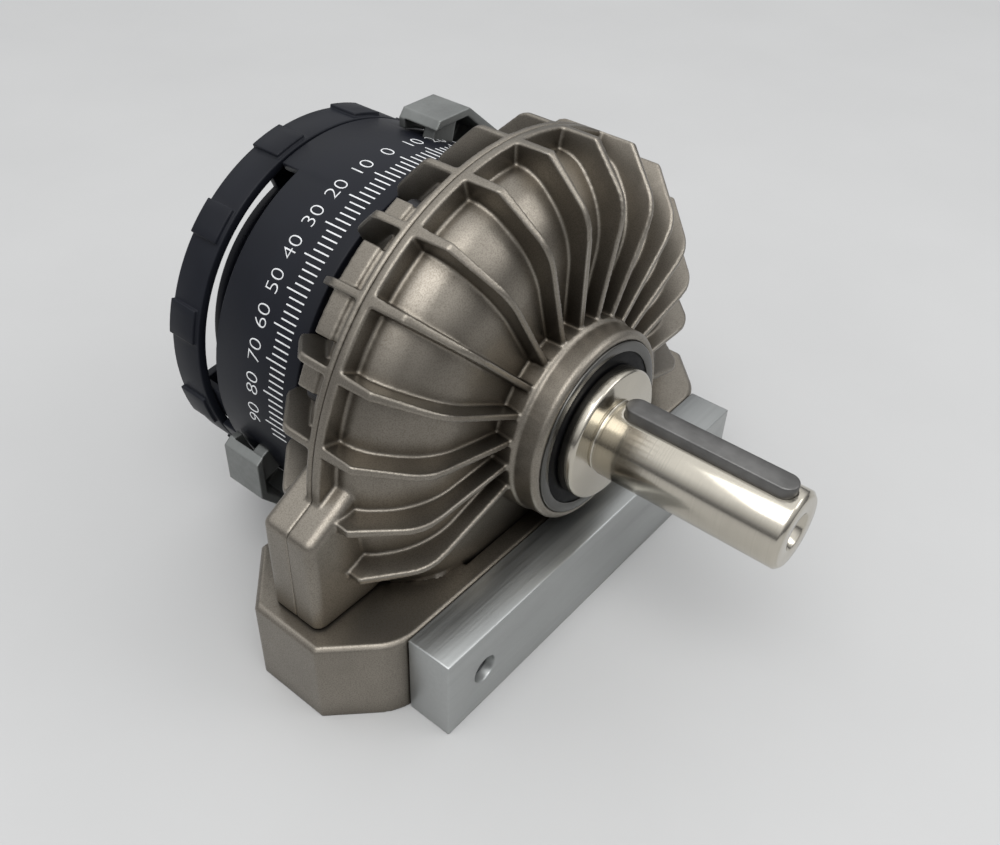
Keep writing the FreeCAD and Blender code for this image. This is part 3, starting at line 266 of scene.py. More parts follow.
def soft_edges(tree, radius):
    """Normal rounded over edges, and how strongly a point lies on an edge."""
    bevel = add(tree, "ShaderNodeBevel", samples=SHADER_RAYS, Radius=radius)
    own = add(tree, "ShaderNodeNewGeometry")
    dot = add(tree, "ShaderNodeVectorMath", operation="DOT_PRODUCT")
    tree.links.new(bevel.outputs["Normal"], dot.inputs[0])
    tree.links.new(own.outputs["Normal"], dot.inputs[1])
    edge = ranged(tree, dot.outputs["Value"], EDGE_TURNED, EDGE_FLAT, 1.0, 0.0)
    return bevel.outputs["Normal"], edge


def openness(tree, distance):
    """How open the surroundings of a point are, from 0 in a corner to 1."""
    return add(tree, "ShaderNodeAmbientOcclusion", samples=SHADER_RAYS, Distance=distance).outputs["AO"]


def dress(tree, surface, colour, value, smooth, rough, metal=0.0):
    """Give a surface its colour and metal, and a roughness that follows a noise."""
    feed(tree, surface["Base Color"], colour)
    feed(tree, surface["Roughness"], ranged(tree, value, NOISE_LOW, NOISE_HIGH, smooth, rough))
    surface["Metallic"].default_value = metal


def bumped(tree, surface, height, strength, depth, normal=None):
    """Roughen a surface by a height."""
    bump = add(tree, "ShaderNodeBump", Strength=strength, Distance=depth, Height=height)
    if normal is not None:
        tree.links.new(normal, bump.inputs["Normal"])
    tree.links.new(bump.outputs["Normal"], surface["Normal"])


# Finishes

def casting_finish(look):
    """Blasted die casting: fine grain, painted shade in its corners, edges lightened by wear and a painted
    highlight.
    """
    made, tree, surface = new_finish("blasted_casting")
    fine = noise(tree, scale=3200, detail=2.0)
    broad = noise(tree, scale=55, detail=4.0)
    normal, edge = soft_edges(tree, radius=0.7 * MM)
    open_air = openness(tree, distance=9 * MM)
    tone = mottled(tree, broad, look.casting, dark=0.88, light=1.10)
    speckle = mixed(tree, ranged(tree, fine, 0.42, 0.68, 0.0, 0.4), tone, tint(look.casting_dark, 1.5))
    # Painted shade: the colour goes to the dark tone where the surroundings are closed, in corners and between
    # ribs
    shaded = mixed(tree, ranged(tree, open_air, 0.2, 0.75, 1.0, 0.0), speckle, tint(look.casting_dark))
    # Free edges painted lighter: partly wear, partly painted highlight
    free_edge = calc(tree, "MULTIPLY", edge, ranged(tree, open_air, 0.45, 0.8, 0.0, 0.85))
    wear_and_glint_here = calc(tree, "MULTIPLY", free_edge, ranged(tree, broad, 0.3, 0.6, 0.55, 1.0))
    wear_and_glint_tone = mixed(tree, wear_and_glint_here, shaded, tint(look.casting_worn))
    dress(tree, surface, wear_and_glint_tone, fine, smooth=0.32, rough=0.43, metal=0.96)
    bumped(tree, surface, fine, strength=0.16, depth=0.12 * MM, normal=normal)
    return made


def bar_finish(look):
    """Drawn bar: long fine streaks along its length, dull patches, and edges painted bright, partly wear, partly
    painted highlight.
    """
    made, tree, surface = new_finish("brushed_bar")
    streak = noise(tree, scale=1.0, detail=4.0, roughness=0.6, stretch=(14, 900, 900))
    broad = noise(tree, scale=40)
    normal, edge = soft_edges(tree, radius=0.5 * MM)
    tone = mottled(tree, streak, look.bar, dark=0.93, light=1.06)
    dull = mixed(tree, ranged(tree, broad, 0.45, 0.75, 0.0, 0.3), tone, tint(look.bar, 0.84))
    # Edges painted brighter: partly wear, partly painted highlight
    bright = mixed(tree, calc(tree, "MULTIPLY", edge, 0.7), dull, tint(look.bar, 2.0))
    dress(tree, surface, bright, streak, smooth=0.32, rough=0.44, metal=0.95)
    bumped(tree, surface, noise(tree, scale=1700), strength=0.16, depth=0.1 * MM, normal=normal)
    return made


def turned_finish(name, colour, smooth, rough):
    """Turned and ground metal: fine rings round the shaft axis."""
    made, tree, surface = new_finish(name)
    rings = noise(tree, scale=1.0, detail=2.0, stretch=(0, 2600, 0))
    broad = noise(tree, scale=70)
    normal = soft_edges(tree, radius=0.4 * MM)[0]
    tone = mottled(tree, broad, colour, dark=0.92, light=1.06)
    lined = mixed(tree, ranged(tree, rings, 0.4, 0.75, 0.0, 0.3), tone, tint(colour, 0.75))
    dress(tree, surface, lined, rings, smooth, rough, metal=1.0)
    bumped(tree, surface, rings, strength=0.12, depth=0.08 * MM, normal=normal)
    return made


def plain_steel_finish(name, colour, smooth, rough):
    """Milled or drawn steel with small scratches and dull spots, and edges painted lighter by wear and a painted
    highlight.
    """
    made, tree, surface = new_finish(name)
    scratch = noise(tree, scale=1.0, roughness=0.6, stretch=(1200, 90, 1200))
    broad = noise(tree, scale=130, detail=4.0)
    normal, edge = soft_edges(tree, radius=0.4 * MM)
    tone = mottled(tree, broad, colour, dark=0.8, light=1.15, low=0.35, high=0.65)
    # Edges painted lighter: partly wear, partly painted highlight
    wear_and_glint = mixed(tree, calc(tree, "MULTIPLY", edge, 0.6), tone, tint(colour, 2.0))
    dress(tree, surface, wear_and_glint, scratch, smooth, rough, metal=0.95)
    bumped(tree, surface, scratch, strength=0.18, depth=0.08 * MM, normal=normal)
    return made


def plastic_finish(look):
    """Moulded black plastic: satin skin, faint mottling, edges a little greyer from wear and a painted highlight.
    """
    made, tree, surface = new_finish("moulded_black")
    skin = noise(tree, scale=2200, detail=2.0)
    broad = noise(tree, scale=45, detail=4.0)
    normal, edge = soft_edges(tree, radius=0.5 * MM)
    tone = mottled(tree, broad, look.plastic, dark=0.85, light=1.25)
    # Edges painted greyer: partly wear, partly painted highlight
    wear_and_glint = mixed(tree, calc(tree, "MULTIPLY", edge, 0.5), tone, tint(look.plastic, 3.2))
    dress(tree, surface, wear_and_glint, broad, smooth=0.40, rough=0.50)
    surface["Specular IOR Level"].default_value = 0.16
    bumped(tree, surface, skin, strength=0.12, depth=0.06 * MM, normal=normal)
    return made


def bracket_finish(look):
    """Smooth zinc casting, with painted shade darkening its corners and edges lightened by wear and a painted
    highlight.
    """
    made, tree, surface = new_finish("grey_zinc")
    skin = noise(tree, scale=900)
    broad = noise(tree, scale=120, detail=4.0)
    normal, edge = soft_edges(tree, radius=0.6 * MM)
    open_air = openness(tree, distance=6 * MM)
    tone = mottled(tree, broad, look.bracket, dark=0.86, light=1.12)
    # Edges painted lighter: partly wear, partly painted highlight
    wear_and_glint = mixed(tree, calc(tree, "MULTIPLY", edge, 0.6), tone, tint(look.bracket, 1.7))
    # Painted shade: the colour goes darker towards closed corners
    shaded = mixed(tree, ranged(tree, open_air, 0.2, 0.8, 0.75, 0.0), wear_and_glint, tint(look.bracket, 0.35))
    dress(tree, surface, shaded, skin, smooth=0.36, rough=0.50, metal=0.6)
    bumped(tree, surface, skin, strength=0.15, depth=0.12 * MM, normal=normal)
    return made


def rubber_finish(look):
    """Black rubber with a faint bloom."""
    made, tree, surface = new_finish("seal_rubber")
    skin = noise(tree, scale=1100)
    tone = mottled(tree, noise(tree, scale=90), look.rubber, dark=1.0, light=2.0, low=0.35)
    dress(tree, surface, tone, skin, smooth=0.28, rough=0.42)
    surface["Specular IOR Level"].default_value = 0.04
    bumped(tree, surface, skin, strength=0.1, depth=0.06 * MM)
    return made


def print_finish(look):
    """White print, a little uneven."""
    made, tree, surface = new_finish("white_print")
    patch = noise(tree, scale=700)
    tone = mottled(tree, patch, look.print_white, dark=1.0, light=0.82, low=0.35)
    dress(tree, surface, tone, patch, smooth=0.5, rough=0.7)
    return made


FINISHES = {}


def make_finishes(look):
    """Make the finish of every material slot, and that of the print."""
    FINISHES.update({
        "cast_alloy": casting_finish(look),
        "bar_metal": bar_finish(look),
        "shaft_steel": turned_finish("plated_shaft", look.shaft, smooth=0.13, rough=0.24),
        "bearing_steel": turned_finish("ground_bearing", look.bearing, smooth=0.20, rough=0.32),
        "key_steel": plain_steel_finish("drawn_key", look.key, smooth=0.30, rough=0.48),
        "stop_steel": plain_steel_finish("milled_stop", look.stop, smooth=0.32, rough=0.46),
        "screw_steel": plain_steel_finish("blackened_screw", look.screw, smooth=0.34, rough=0.52),
        "vane_alloy": plain_steel_finish("machined_vane", look.vane, smooth=0.30, rough=0.44),
        "sleeve_brass": turned_finish("turned_brass", look.sleeve, smooth=0.22, rough=0.36),
        "black_plastic": plastic_finish(look),
        "zinc_casting": bracket_finish(look),
        "seal_rubber": rubber_finish(look),
        "white_print": print_finish(look),
    })


SLOT_OF = {part["node"]: part["material_slot"] for part in frame["record"]["subparts"]}


# Pieces

def new_piece(name, data):
    """New object in the scene."""
    piece = bpy.data.objects.new(name, data)
    bpy.context.scene.collection.objects.link(piece)
    return piece


def settle(piece, body, finish, stands_for=()):
    """Give a finished piece its material and its place on a body."""
    piece.data.materials.clear()
    piece.data.materials.append(FINISHES[finish])
    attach(piece, body)
    if stands_for:
        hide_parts(*stands_for)


def plain_mesh(piece):
    """Turn what a piece's modifiers make into its own mesh and take them off."""
    bpy.context.view_layer.update()
    seen = piece.evaluated_get(bpy.context.evaluated_depsgraph_get())
    mesh = bpy.data.meshes.new_from_object(seen)
    piece.modifiers.clear()
    piece.data = mesh


def smooth_by_angle(mesh, angle):
    """Shade a mesh smooth, but for the edges that turn by more than an angle."""
    mesh.shade_smooth()
    mesh.set_sharp_from_angle(angle=angle)


def on_ring(angle, radius, along):
    """Point round the shaft axis, from an angle off straight up and a place along the shaft."""
    return Vector((radius * sin(angle), along, SHAFT_AXIS.z + radius * cos(angle)))


# Copies of the model's nodes with eased edges

SEAM = 0.002 * MM
CAST_EASE = 0.5
CAST_SMOOTH = radians(60)
BRACKET_SHARE = 0.25
EDGE_STEPS = 2
EDGE_FROM = radians(35)
EDGE_SMOOTH = radians(25)


def merged_copy(name):
    """Copy of a node's mesh with its seams closed."""
    part = bmesh.new()
    part.from_mesh(NODES[name].data)
    bmesh.ops.remove_doubles(part, verts=part.verts, dist=SEAM)
    return part


def piece_from(part, name):
    """New object from a mesh under way, which is used up."""
    mesh = bpy.data.meshes.new(name)
    part.to_mesh(mesh)
    part.free()
    return new_piece(name, mesh)


def settle_for(piece, node):
    """Settle a piece that stands for one node of the model."""
    settle(piece, BODY_OF[node], SLOT_OF[node], (node,))


def move_points(mesh, changes):
    """Hand the places of a mesh's points, one row each, to functions that move them."""
    spots = numpy.empty(len(mesh.vertices) * 3)
    mesh.vertices.foreach_get("co", spots)
    for change in changes:
        change(spots.reshape(-1, 3))
    mesh.vertices.foreach_set("co", spots)
    mesh.update()


def cast_piece(node, sizes, cell, most, extra=None, changes=()):
    """Casting: a fine shell over the node, smoothed so that every edge and root gets a small round.

    extra adds solids before that, and changes move points of the fine shell before it is thinned.
    """
    part = merged_copy(node)
    if extra is not None:
        extra(part)
    piece = piece_from(part, node + "_cast")
    shell = piece.modifiers.new("shell", "REMESH")
    shell.mode = "VOXEL"
    shell.voxel_size = cell
    ease = piece.modifiers.new("ease", "SMOOTH")
    ease.factor = CAST_EASE
    ease.iterations = sizes.cast_rounds
    plain_mesh(piece)
    move_points(piece.data, changes)
    thin = piece.modifiers.new("thin", "DECIMATE")
    thin.ratio = min(1.0, most / (2 * len(piece.data.polygons)))
    plain_mesh(piece)
    smooth_by_angle(piece.data, CAST_SMOOTH)
    settle_for(piece, node)


def machined_piece(node, width):
    """Machined or moulded piece: the node with its sharp edges broken."""
    part = merged_copy(node)
    inner = [edge for edge in part.edges if len(edge.link_faces) == 2]
    sharp = [edge for edge in inner if edge.calc_face_angle(0) > EDGE_FROM]
    bmesh.ops.bevel(part, geom=sharp, offset=width, offset_type="OFFSET", segments=EDGE_STEPS, profile=0.5,
                    affect="EDGES", clamp_overlap=False)
    bmesh.ops.triangulate(part, faces=part.faces)
    bmesh.ops.recalc_face_normals(part, faces=part.faces)
    piece = piece_from(part, node + "_eased")
    smooth_by_angle(piece.data, EDGE_SMOOTH)
    settle_for(piece, node)


# Shelves between the pads of the rear half and its rim; the spans are degrees from straight up

PAD_SPANS = ((24.5, 29.2), (35.0, 55.0), (60.8, 66.0))
SHELF_STEPS = 12
SHELF_FRONT = 1.0 * MM
SHELF_REAR = 5.5 * MM
SHELF_TOP = 64.2 * MM
SHELF_ROOT = 60.0 * MM


def pad_shelves(part):
    """Shelves that join the pads of the rear half to its rim."""
    corners = ((SHELF_ROOT, SHELF_FRONT), (SHELF_TOP, SHELF_FRONT), (SHELF_TOP, SHELF_REAR),
               (SHELF_ROOT, SHELF_REAR))
    for low, high in PAD_SPANS:
        for side in (-1, 1):
            rows = []
            for step in range(SHELF_STEPS + 1):
                angle = side * radians(low + (high - low) * step / SHELF_STEPS)
                rows.append([part.verts.new(on_ring(angle, radius, along)) for radius, along in corners])
            faces = [part.faces.new(rows[0]), part.faces.new(rows[-1])]
            for row, following in zip(rows, rows[1:]):
                for corner in range(4):
                    beside = (corner + 1) % 4
                    faces.append(part.faces.new((row[corner], row[beside], following[beside], following[corner])))
            bmesh.ops.recalc_face_normals(part, faces=faces)


# Front corners of the sump, which lie in the foot's pocket

FOOT_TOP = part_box("mounting_foot")[1].z
SUMP_INNER = 36.0 * MM
SUMP_OUTER = 53.0 * MM
SUMP_FRONT = -19.8 * MM
SUMP_REAR = -9.0 * MM
SUMP_SINK = 0.7 * MM
SUMP_ROOT = 19.0 * MM


def box_between(part, low, high):
    """Add a closed box between two corners."""
    made = bmesh.ops.create_cube(part, size=1.0)["verts"]
    middle = (Vector(low) + Vector(high)) / 2
    size = Vector(high) - Vector(low)
    for vertex in made:
        vertex.co = middle + vertex.co * size


def close_pocket(part):
    """Close the foot's pocket over the front corners of the sump."""
    for side in (-1, 1):
        ends = sorted((side * SUMP_INNER, side * SUMP_OUTER))
        box_between(part, (ends[0], SUMP_FRONT, FOOT_TOP / 2), (ends[1], SUMP_REAR, FOOT_TOP))


def sink_sump(spots):
    """Take the flat front corners of the sump below the top of the foot."""
    height = spots[:, 2]
    low = (height > SUMP_ROOT) & (height < FOOT_TOP + SUMP_SINK)
    corner = low & (spots[:, 1] < SUMP_REAR) & (numpy.abs(spots[:, 0]) > SUMP_INNER)
    pressed = (FOOT_TOP - SUMP_SINK - SUMP_ROOT) / (FOOT_TOP + SUMP_SINK - SUMP_ROOT)
    height[corner] = SUMP_ROOT + (height[corner] - SUMP_ROOT) * pressed


# Panels between the front ribs: the model's short rounds at the two bends become long ones

DRUM_RADIUS = 61.7 * MM
DOME_BEND = -7.6 * MM
DOME_FACE = -18.7 * MM
SHORT_ROUND = 5.0 * MM
RIB_CLEAR = 0.5 * MM
RIB_CREST = 3.0 * MM
HALF_BEND = radians(22.5)
CURVE_FROM = 13.0 * MM
CURVE_FULL = 22.0 * MM


def rounded_bend(along, reach, corner, start, long_round):
    """Take points near one 45 degree bend onto a longer round; start is the angle of its first normal."""
    middle = start + HALF_BEND
    far = long_round / cos(HALF_BEND)
    centre_along = corner[0] + far * sin(middle)
    centre_reach = corner[1] - far * cos(middle)
    out_along = along - centre_along
    out_reach = reach - centre_reach
    distance = numpy.hypot(out_along, out_reach)
    angle = numpy.arctan2(-out_along, out_reach) - start
    inside = (angle > 0) & (angle < 2 * HALF_BEND)
    held = numpy.clip(angle, 0, 2 * HALF_BEND)
    flat = long_round / numpy.maximum(numpy.cos(held), numpy.cos(2 * HALF_BEND - held))
    lead = (long_round - SHORT_ROUND) / cos(HALF_BEND)
    turned = held - HALF_BEND
    bowed = lead * numpy.cos(turned) + numpy.sqrt(
        numpy.maximum(SHORT_ROUND ** 2 - (lead * numpy.sin(turned)) ** 2, 0))
    edge = numpy.arctan((long_round - SHORT_ROUND) * numpy.tan(HALF_BEND) / long_round)
    on_round = (held > edge) & (held < 2 * HALF_BEND - edge)
    surface = numpy.where(on_round, bowed, flat)
    height = distance - surface
    share = numpy.clip((RIB_CREST - height) / (RIB_CREST - RIB_CLEAR), 0, 1)
    share = numpy.where(inside & (height > -RIB_CLEAR), share, 0)
    change = (long_round - surface) * share / numpy.maximum(distance, MM)
    return along + out_along * change, reach + out_reach * change


def round_panels(spots, first_round, second_round):
    """Give the dome of the front half its full curve."""
    up = spots[:, 2] - SHAFT_AXIS.z
    reach = numpy.hypot(spots[:, 0], up)
    slope_end = DRUM_RADIUS + DOME_FACE - DOME_BEND
    along, moved = rounded_bend(spots[:, 1], reach, (DOME_BEND, DRUM_RADIUS), 0.0, first_round)
    along, moved = rounded_bend(along, moved, (DOME_FACE, slope_end), 2 * HALF_BEND, second_round)
    share = numpy.clip((spots[:, 2] - CURVE_FROM) / (CURVE_FULL - CURVE_FROM), 0, 1)
    scale = 1 + share * (moved / numpy.maximum(reach, MM) - 1)
    spots[:, 0] *= scale
    spots[:, 1] += share * (along - spots[:, 1])
    spots[:, 2] = SHAFT_AXIS.z + up * scale


# Room that the vane sweeps

CHAMBER_RADIUS = 51.5 * MM
CHAMBER_FRONT = -13.0 * MM
CHAMBER_REAR = 8.5 * MM
CHAMBER_CLEAR = 0.35 * MM
CHAMBER_NEAR = 2.0 * MM


def clear_chamber(spots):
    """Keep the easing of a casting out of the room that the vane sweeps."""
    up = spots[:, 2] - SHAFT_AXIS.z
    reach = numpy.hypot(spots[:, 0], up)
    along = spots[:, 1]
    gaps = numpy.stack((CHAMBER_RADIUS - reach, along - CHAMBER_FRONT, CHAMBER_REAR - along))
    least = gaps.min(axis=0)
    near = (up > 0) & (least > -CHAMBER_CLEAR) & (least < CHAMBER_NEAR)
    wall = gaps.argmin(axis=0)
    around = near & (wall == 0)
    scale = (CHAMBER_RADIUS + CHAMBER_CLEAR) / reach[around]
    spots[around, 0] *= scale
    spots[around, 2] = SHAFT_AXIS.z + up[around] * scale
    along[near & (wall == 1)] = CHAMBER_FRONT - CHAMBER_CLEAR
    along[near & (wall == 2)] = CHAMBER_REAR + CHAMBER_CLEAR


# Operators for the pieces

class DRIVE_OT_plain_nodes(bpy.types.Operator):
    """Give every node of the model its finish"""
    bl_idname = "drive.plain_nodes"
    bl_label = "Finish the model's nodes"

    def execute(self, context):
        make_finishes(context.scene.drive_finishes)
        for name, node in NODES.items():
            node.data.materials.clear()
            node.data.materials.append(FINISHES[SLOT_OF[name]])
        return {"FINISHED"}


class DRIVE_OT_housing(bpy.types.Operator):
    """Two ribbed halves of the housing"""
    bl_idname = "drive.housing"
    bl_label = "Housing halves"

    def execute(self, context):
        sizes = context.scene.drive_edges

        def full_curve(spots):
            round_panels(spots, sizes.drum_round, sizes.face_round)

        cast_piece("front_housing", sizes, sizes.cast_cell, sizes.most,
                   changes=(full_curve, sink_sump, clear_chamber))
        cast_piece("rear_housing", sizes, sizes.cast_cell, sizes.most, pad_shelves, (clear_chamber,))
        return {"FINISHED"}


class DRIVE_OT_foot(bpy.types.Operator):
    """Cast foot under the housing"""
    bl_idname = "drive.foot"
    bl_label = "Foot"

    def execute(self, context):
        sizes = context.scene.drive_edges
        cast_piece("mounting_foot", sizes, sizes.cast_cell, sizes.most, close_pocket)
        return {"FINISHED"}


class DRIVE_OT_bar(bpy.types.Operator):
    """Flat bar in front of the foot"""
    bl_idname = "drive.bar"
    bl_label = "Bar"

    def execute(self, context):
        machined_piece("mounting_bar", context.scene.drive_edges.bar)
        return {"FINISHED"}


class DRIVE_OT_shaft(bpy.types.Operator):
    """Drive shaft"""
    bl_idname = "drive.shaft"
    bl_label = "Shaft"

    def execute(self, context):
        machined_piece("drive_shaft", context.scene.drive_edges.machined)
        return {"FINISHED"}


class DRIVE_OT_key(bpy.types.Operator):
    """Feather key of the drive shaft"""
    bl_idname = "drive.key"
    bl_label = "Key"

    def execute(self, context):
        machined_piece("shaft_key", context.scene.drive_edges.bar)
        return {"FINISHED"}


class DRIVE_OT_bearings(bpy.types.Operator):
    """Rings and shields of both bearings"""
    bl_idname = "drive.bearings"
    bl_label = "Bearings"

    def execute(self, context):
        sizes = context.scene.drive_edges
        for end in ("front", "rear"):
            for piece in ("outer", "inner", "shields"):
                machined_piece("%s_bearing_%s" % (end, piece), sizes.machined)
        return {"FINISHED"}


class DRIVE_OT_ring(bpy.types.Operator):
    """Black scale ring"""
    bl_idname = "drive.ring"
    bl_label = "Scale ring"

    def execute(self, context):
        machined_piece("scale_ring", context.scene.drive_edges.moulded)
        return {"FINISHED"}


class DRIVE_OT_cap(bpy.types.Operator):
    """Grip cap behind the scale ring"""
    bl_idname = "drive.cap"
    bl_label = "Rear cap"

    def execute(self, context):
        machined_piece("rear_cap", context.scene.drive_edges.moulded)
        return {"FINISHED"}


class DRIVE_OT_stops(bpy.types.Operator):
    """Hooded brackets of the two end stops, with what they carry"""
    bl_idname = "drive.stops"
    bl_label = "End stops"

    def execute(self, context):
        sizes = context.scene.drive_edges
        for side in ("top", "left"):
            cast_piece(side + "_stop_bracket", sizes, sizes.small_cell, sizes.most * BRACKET_SHARE)
            machined_piece(side + "_stop_nut", sizes.machined)
            machined_piece(side + "_stop_block", sizes.machined)
        return {"FINISHED"}


class DRIVE_OT_lever(bpy.types.Operator):
    """Lever that meets the end stops"""
    bl_idname = "drive.lever"
    bl_label = "Stop lever"

    def execute(self, context):
        machined_piece("stop_lever", context.scene.drive_edges.machined)
        return {"FINISHED"}


# What repeats: node trees that set copies

def repeat_tree(name, inputs):
    """New node tree with named inputs; gives tree, the inputs' values and their identifiers."""
    tree = bpy.data.node_groups.new(name, "GeometryNodeTree")
    face = tree.interface
    face.new_socket("Geometry", in_out="OUTPUT", socket_type="NodeSocketGeometry")
    keys = {}
    for label, kind in inputs:
        keys[label] = face.new_socket(label, in_out="INPUT", socket_type="NodeSocket" + kind).identifier
    return tree, tree.nodes.new("NodeGroupInput").outputs, keys


def close_tree(tree, geometry, finish):
    """Make the copies real, give them their finish and hand them out."""
    real = add(tree, "GeometryNodeRealizeInstances", Geometry=geometry)
    coat = add(tree, "GeometryNodeSetMaterial", Geometry=real.outputs[0], Material=finish)
    tree.links.new(coat.outputs[0], tree.nodes.new("NodeGroupOutput").inputs[0])


def run_tree(piece, tree, keys, values):
    """Run a node tree on a piece and keep what it makes as the piece's own mesh."""
    maker = piece.modifiers.new("maker", "NODES")
    maker.node_group = tree
    for name, value in values.items():
        maker[keys[name]] = value
    plain_mesh(piece)


# Cap screws

END_MARGIN = 0.05 * MM
KNURL_SIDES = 72
SOCKET_SIDES = 6
SHANK_SIDES = 32
SOCKET_PROUD = 0.2 * MM
SCREW_SMOOTH = radians(20)
SCREW_NODES = ("housing_screws", "foot_screws", "bar_screws", "scale_ring_screws", "lever_screw",
               "top_stop_screw", "left_stop_screw")


def islands(part):
    """Groups of points that hang together, one for each screw of a node."""
    seen = set()
    for start in part.verts:
        if start in seen:
            continue
        seen.add(start)
        group = [start]
        for vertex in group:
            for edge in vertex.link_edges:
                other = edge.other_vert(vertex)
                if other not in seen:
                    seen.add(other)
                    group.append(other)
        yield group


class ScrewPlace:
    """Seat, axis and sizes of one screw, read from the points of its solid."""
    def __init__(self, group):
        points = numpy.array([vertex.co[:] for vertex in group])
        middle = (points.max(axis=0) + points.min(axis=0)) / 2
        ways = numpy.linalg.eigh(numpy.cov((points - middle).T))[1]
        axis = ways[:, 2]
        along = (points - middle) @ axis
        reach = numpy.linalg.norm(points - middle - numpy.outer(along, axis), axis=1)
        high_end = reach[along > along.max() - END_MARGIN].max()
        low_end = reach[along < along.min() + END_MARGIN].max()
        if high_end < low_end:
            axis = -axis
            along = -along
        self.axis = axis
        self.head = reach.max()
        self.shank = min(high_end, low_end)
        under = along[reach > (self.head + self.shank) / 2].min()
        self.head_height = along.max() - under
        self.length = under - along.min()
        self.seat = middle + axis * under


def screw_tree(finish):
    """Node tree that sets a cap screw, with a knurled head and a six-sided socket, at each point."""
    sizes = ("Head radius", "Head height", "Shank radius", "Socket radius", "Socket depth", "Knurl", "Edge break")
    tree, given, keys = repeat_tree(
        "cap_screws", [("Geometry", "Geometry")] + [(size, "Float") for size in sizes])
    links = tree.links
    radius = given["Head radius"]

    def lifted(mesh, height):
        """Mesh moved up."""
        way = vector(tree, z=height)
        return add(tree, "GeometryNodeTransform", Geometry=mesh, Translation=way).outputs[0]

    def solid(sides, low, high, depth, ends="NGON"):
        """Upright prism or cone, with or without its ends."""
        made = add(tree, "GeometryNodeMeshCone", fill_type=ends, Vertices=sides, Radius_Bottom=low,
                   Radius_Top=high, Depth=depth)
        return made.outputs["Mesh"]

    def wall(sides, low, high, depth):
        return solid(sides, low, high, depth, ends="NONE")

    def disc(sides, size):
        made = add(tree, "GeometryNodeMeshCircle", fill_type="NGON", Vertices=sides, Radius=size)
        return made.outputs["Mesh"]

    def outline(sides, size):
        return add(tree, "GeometryNodeCurvePrimitiveCircle", Resolution=sides, Radius=size).outputs["Curve"]

    def joined(*meshes):
        made = add(tree, "GeometryNodeJoinGeometry")
        for mesh in meshes:
            links.new(mesh, made.inputs[0])
        return made.outputs[0]

    def read(name, kind):
        made = add(tree, "GeometryNodeInputNamedAttribute", data_type=kind, Name=name)
        return next(socket for socket in made.outputs if socket.enabled and socket.name == "Attribute")

    index = add(tree, "GeometryNodeInputIndex").outputs[0]
    groove = calc(tree, "MULTIPLY", calc(tree, "MODULO", index, 2.0), given["Knurl"])
    inset = calc(tree, "DIVIDE", calc(tree, "MULTIPLY", groove, -1.0), radius)

    def knurled(mesh, share):
        """Mesh with every other point drawn in."""
        inward = add(tree, "ShaderNodeVectorMath", operation="MULTIPLY")
        links.new(add(tree, "GeometryNodeInputPosition").outputs[0], inward.inputs[0])
        links.new(vector(tree, x=share, y=share), inward.inputs[1])
        return add(tree, "GeometryNodeSetPosition", Geometry=mesh, Offset=inward.outputs[0]).outputs[0]

    straight = calc(tree, "SUBTRACT", given["Head height"], given["Edge break"])
    rim = calc(tree, "SUBTRACT", radius, given["Edge break"])
    lower_ring = calc(tree, "GREATER_THAN", index, KNURL_SIDES - 0.5)
    edge_break = knurled(wall(KNURL_SIDES, radius, rim, given["Edge break"]),
                         calc(tree, "MULTIPLY", inset, lower_ring))
    key = given["Socket radius"]
    outlines = joined(outline(KNURL_SIDES, rim), outline(SOCKET_SIDES, key))
    face = add(tree, "GeometryNodeFillCurve", Curve=outlines).outputs["Mesh"]
    depth = calc(tree, "SUBTRACT", given["Socket depth"], SOCKET_PROUD)
    bottom = calc(tree, "SUBTRACT", given["Head height"], depth)
    shell = joined(
        knurled(disc(KNURL_SIDES, radius), inset),
        knurled(wall(KNURL_SIDES, radius, radius, straight), inset),
        lifted(edge_break, straight),
        lifted(face, given["Head height"]),
        lifted(wall(SOCKET_SIDES, key, key, depth), bottom),
        lifted(disc(SOCKET_SIDES, key), bottom),
    )
    head = add(tree, "GeometryNodeMergeByDistance", Geometry=shell, Distance=SEAM).outputs[0]
    turn = add(tree, "FunctionNodeAlignRotationToVector", axis="Z", Vector=read("axis", "FLOAT_VECTOR")).outputs[0]
    heads = add(tree, "GeometryNodeInstanceOnPoints", Points=given["Geometry"], Instance=head, Rotation=turn)
    rod = solid(SHANK_SIDES, given["Shank radius"], given["Shank radius"], 1.0)
    stretch = vector(tree, 1.0, 1.0, calc(tree, "MULTIPLY", read("length", "FLOAT"), -1.0))
    shanks = add(tree, "GeometryNodeInstanceOnPoints", Points=given["Geometry"], Instance=rod, Rotation=turn,
                 Scale=stretch)
    close_tree(tree, joined(heads.outputs[0], shanks.outputs[0]), finish)
    return tree, keys


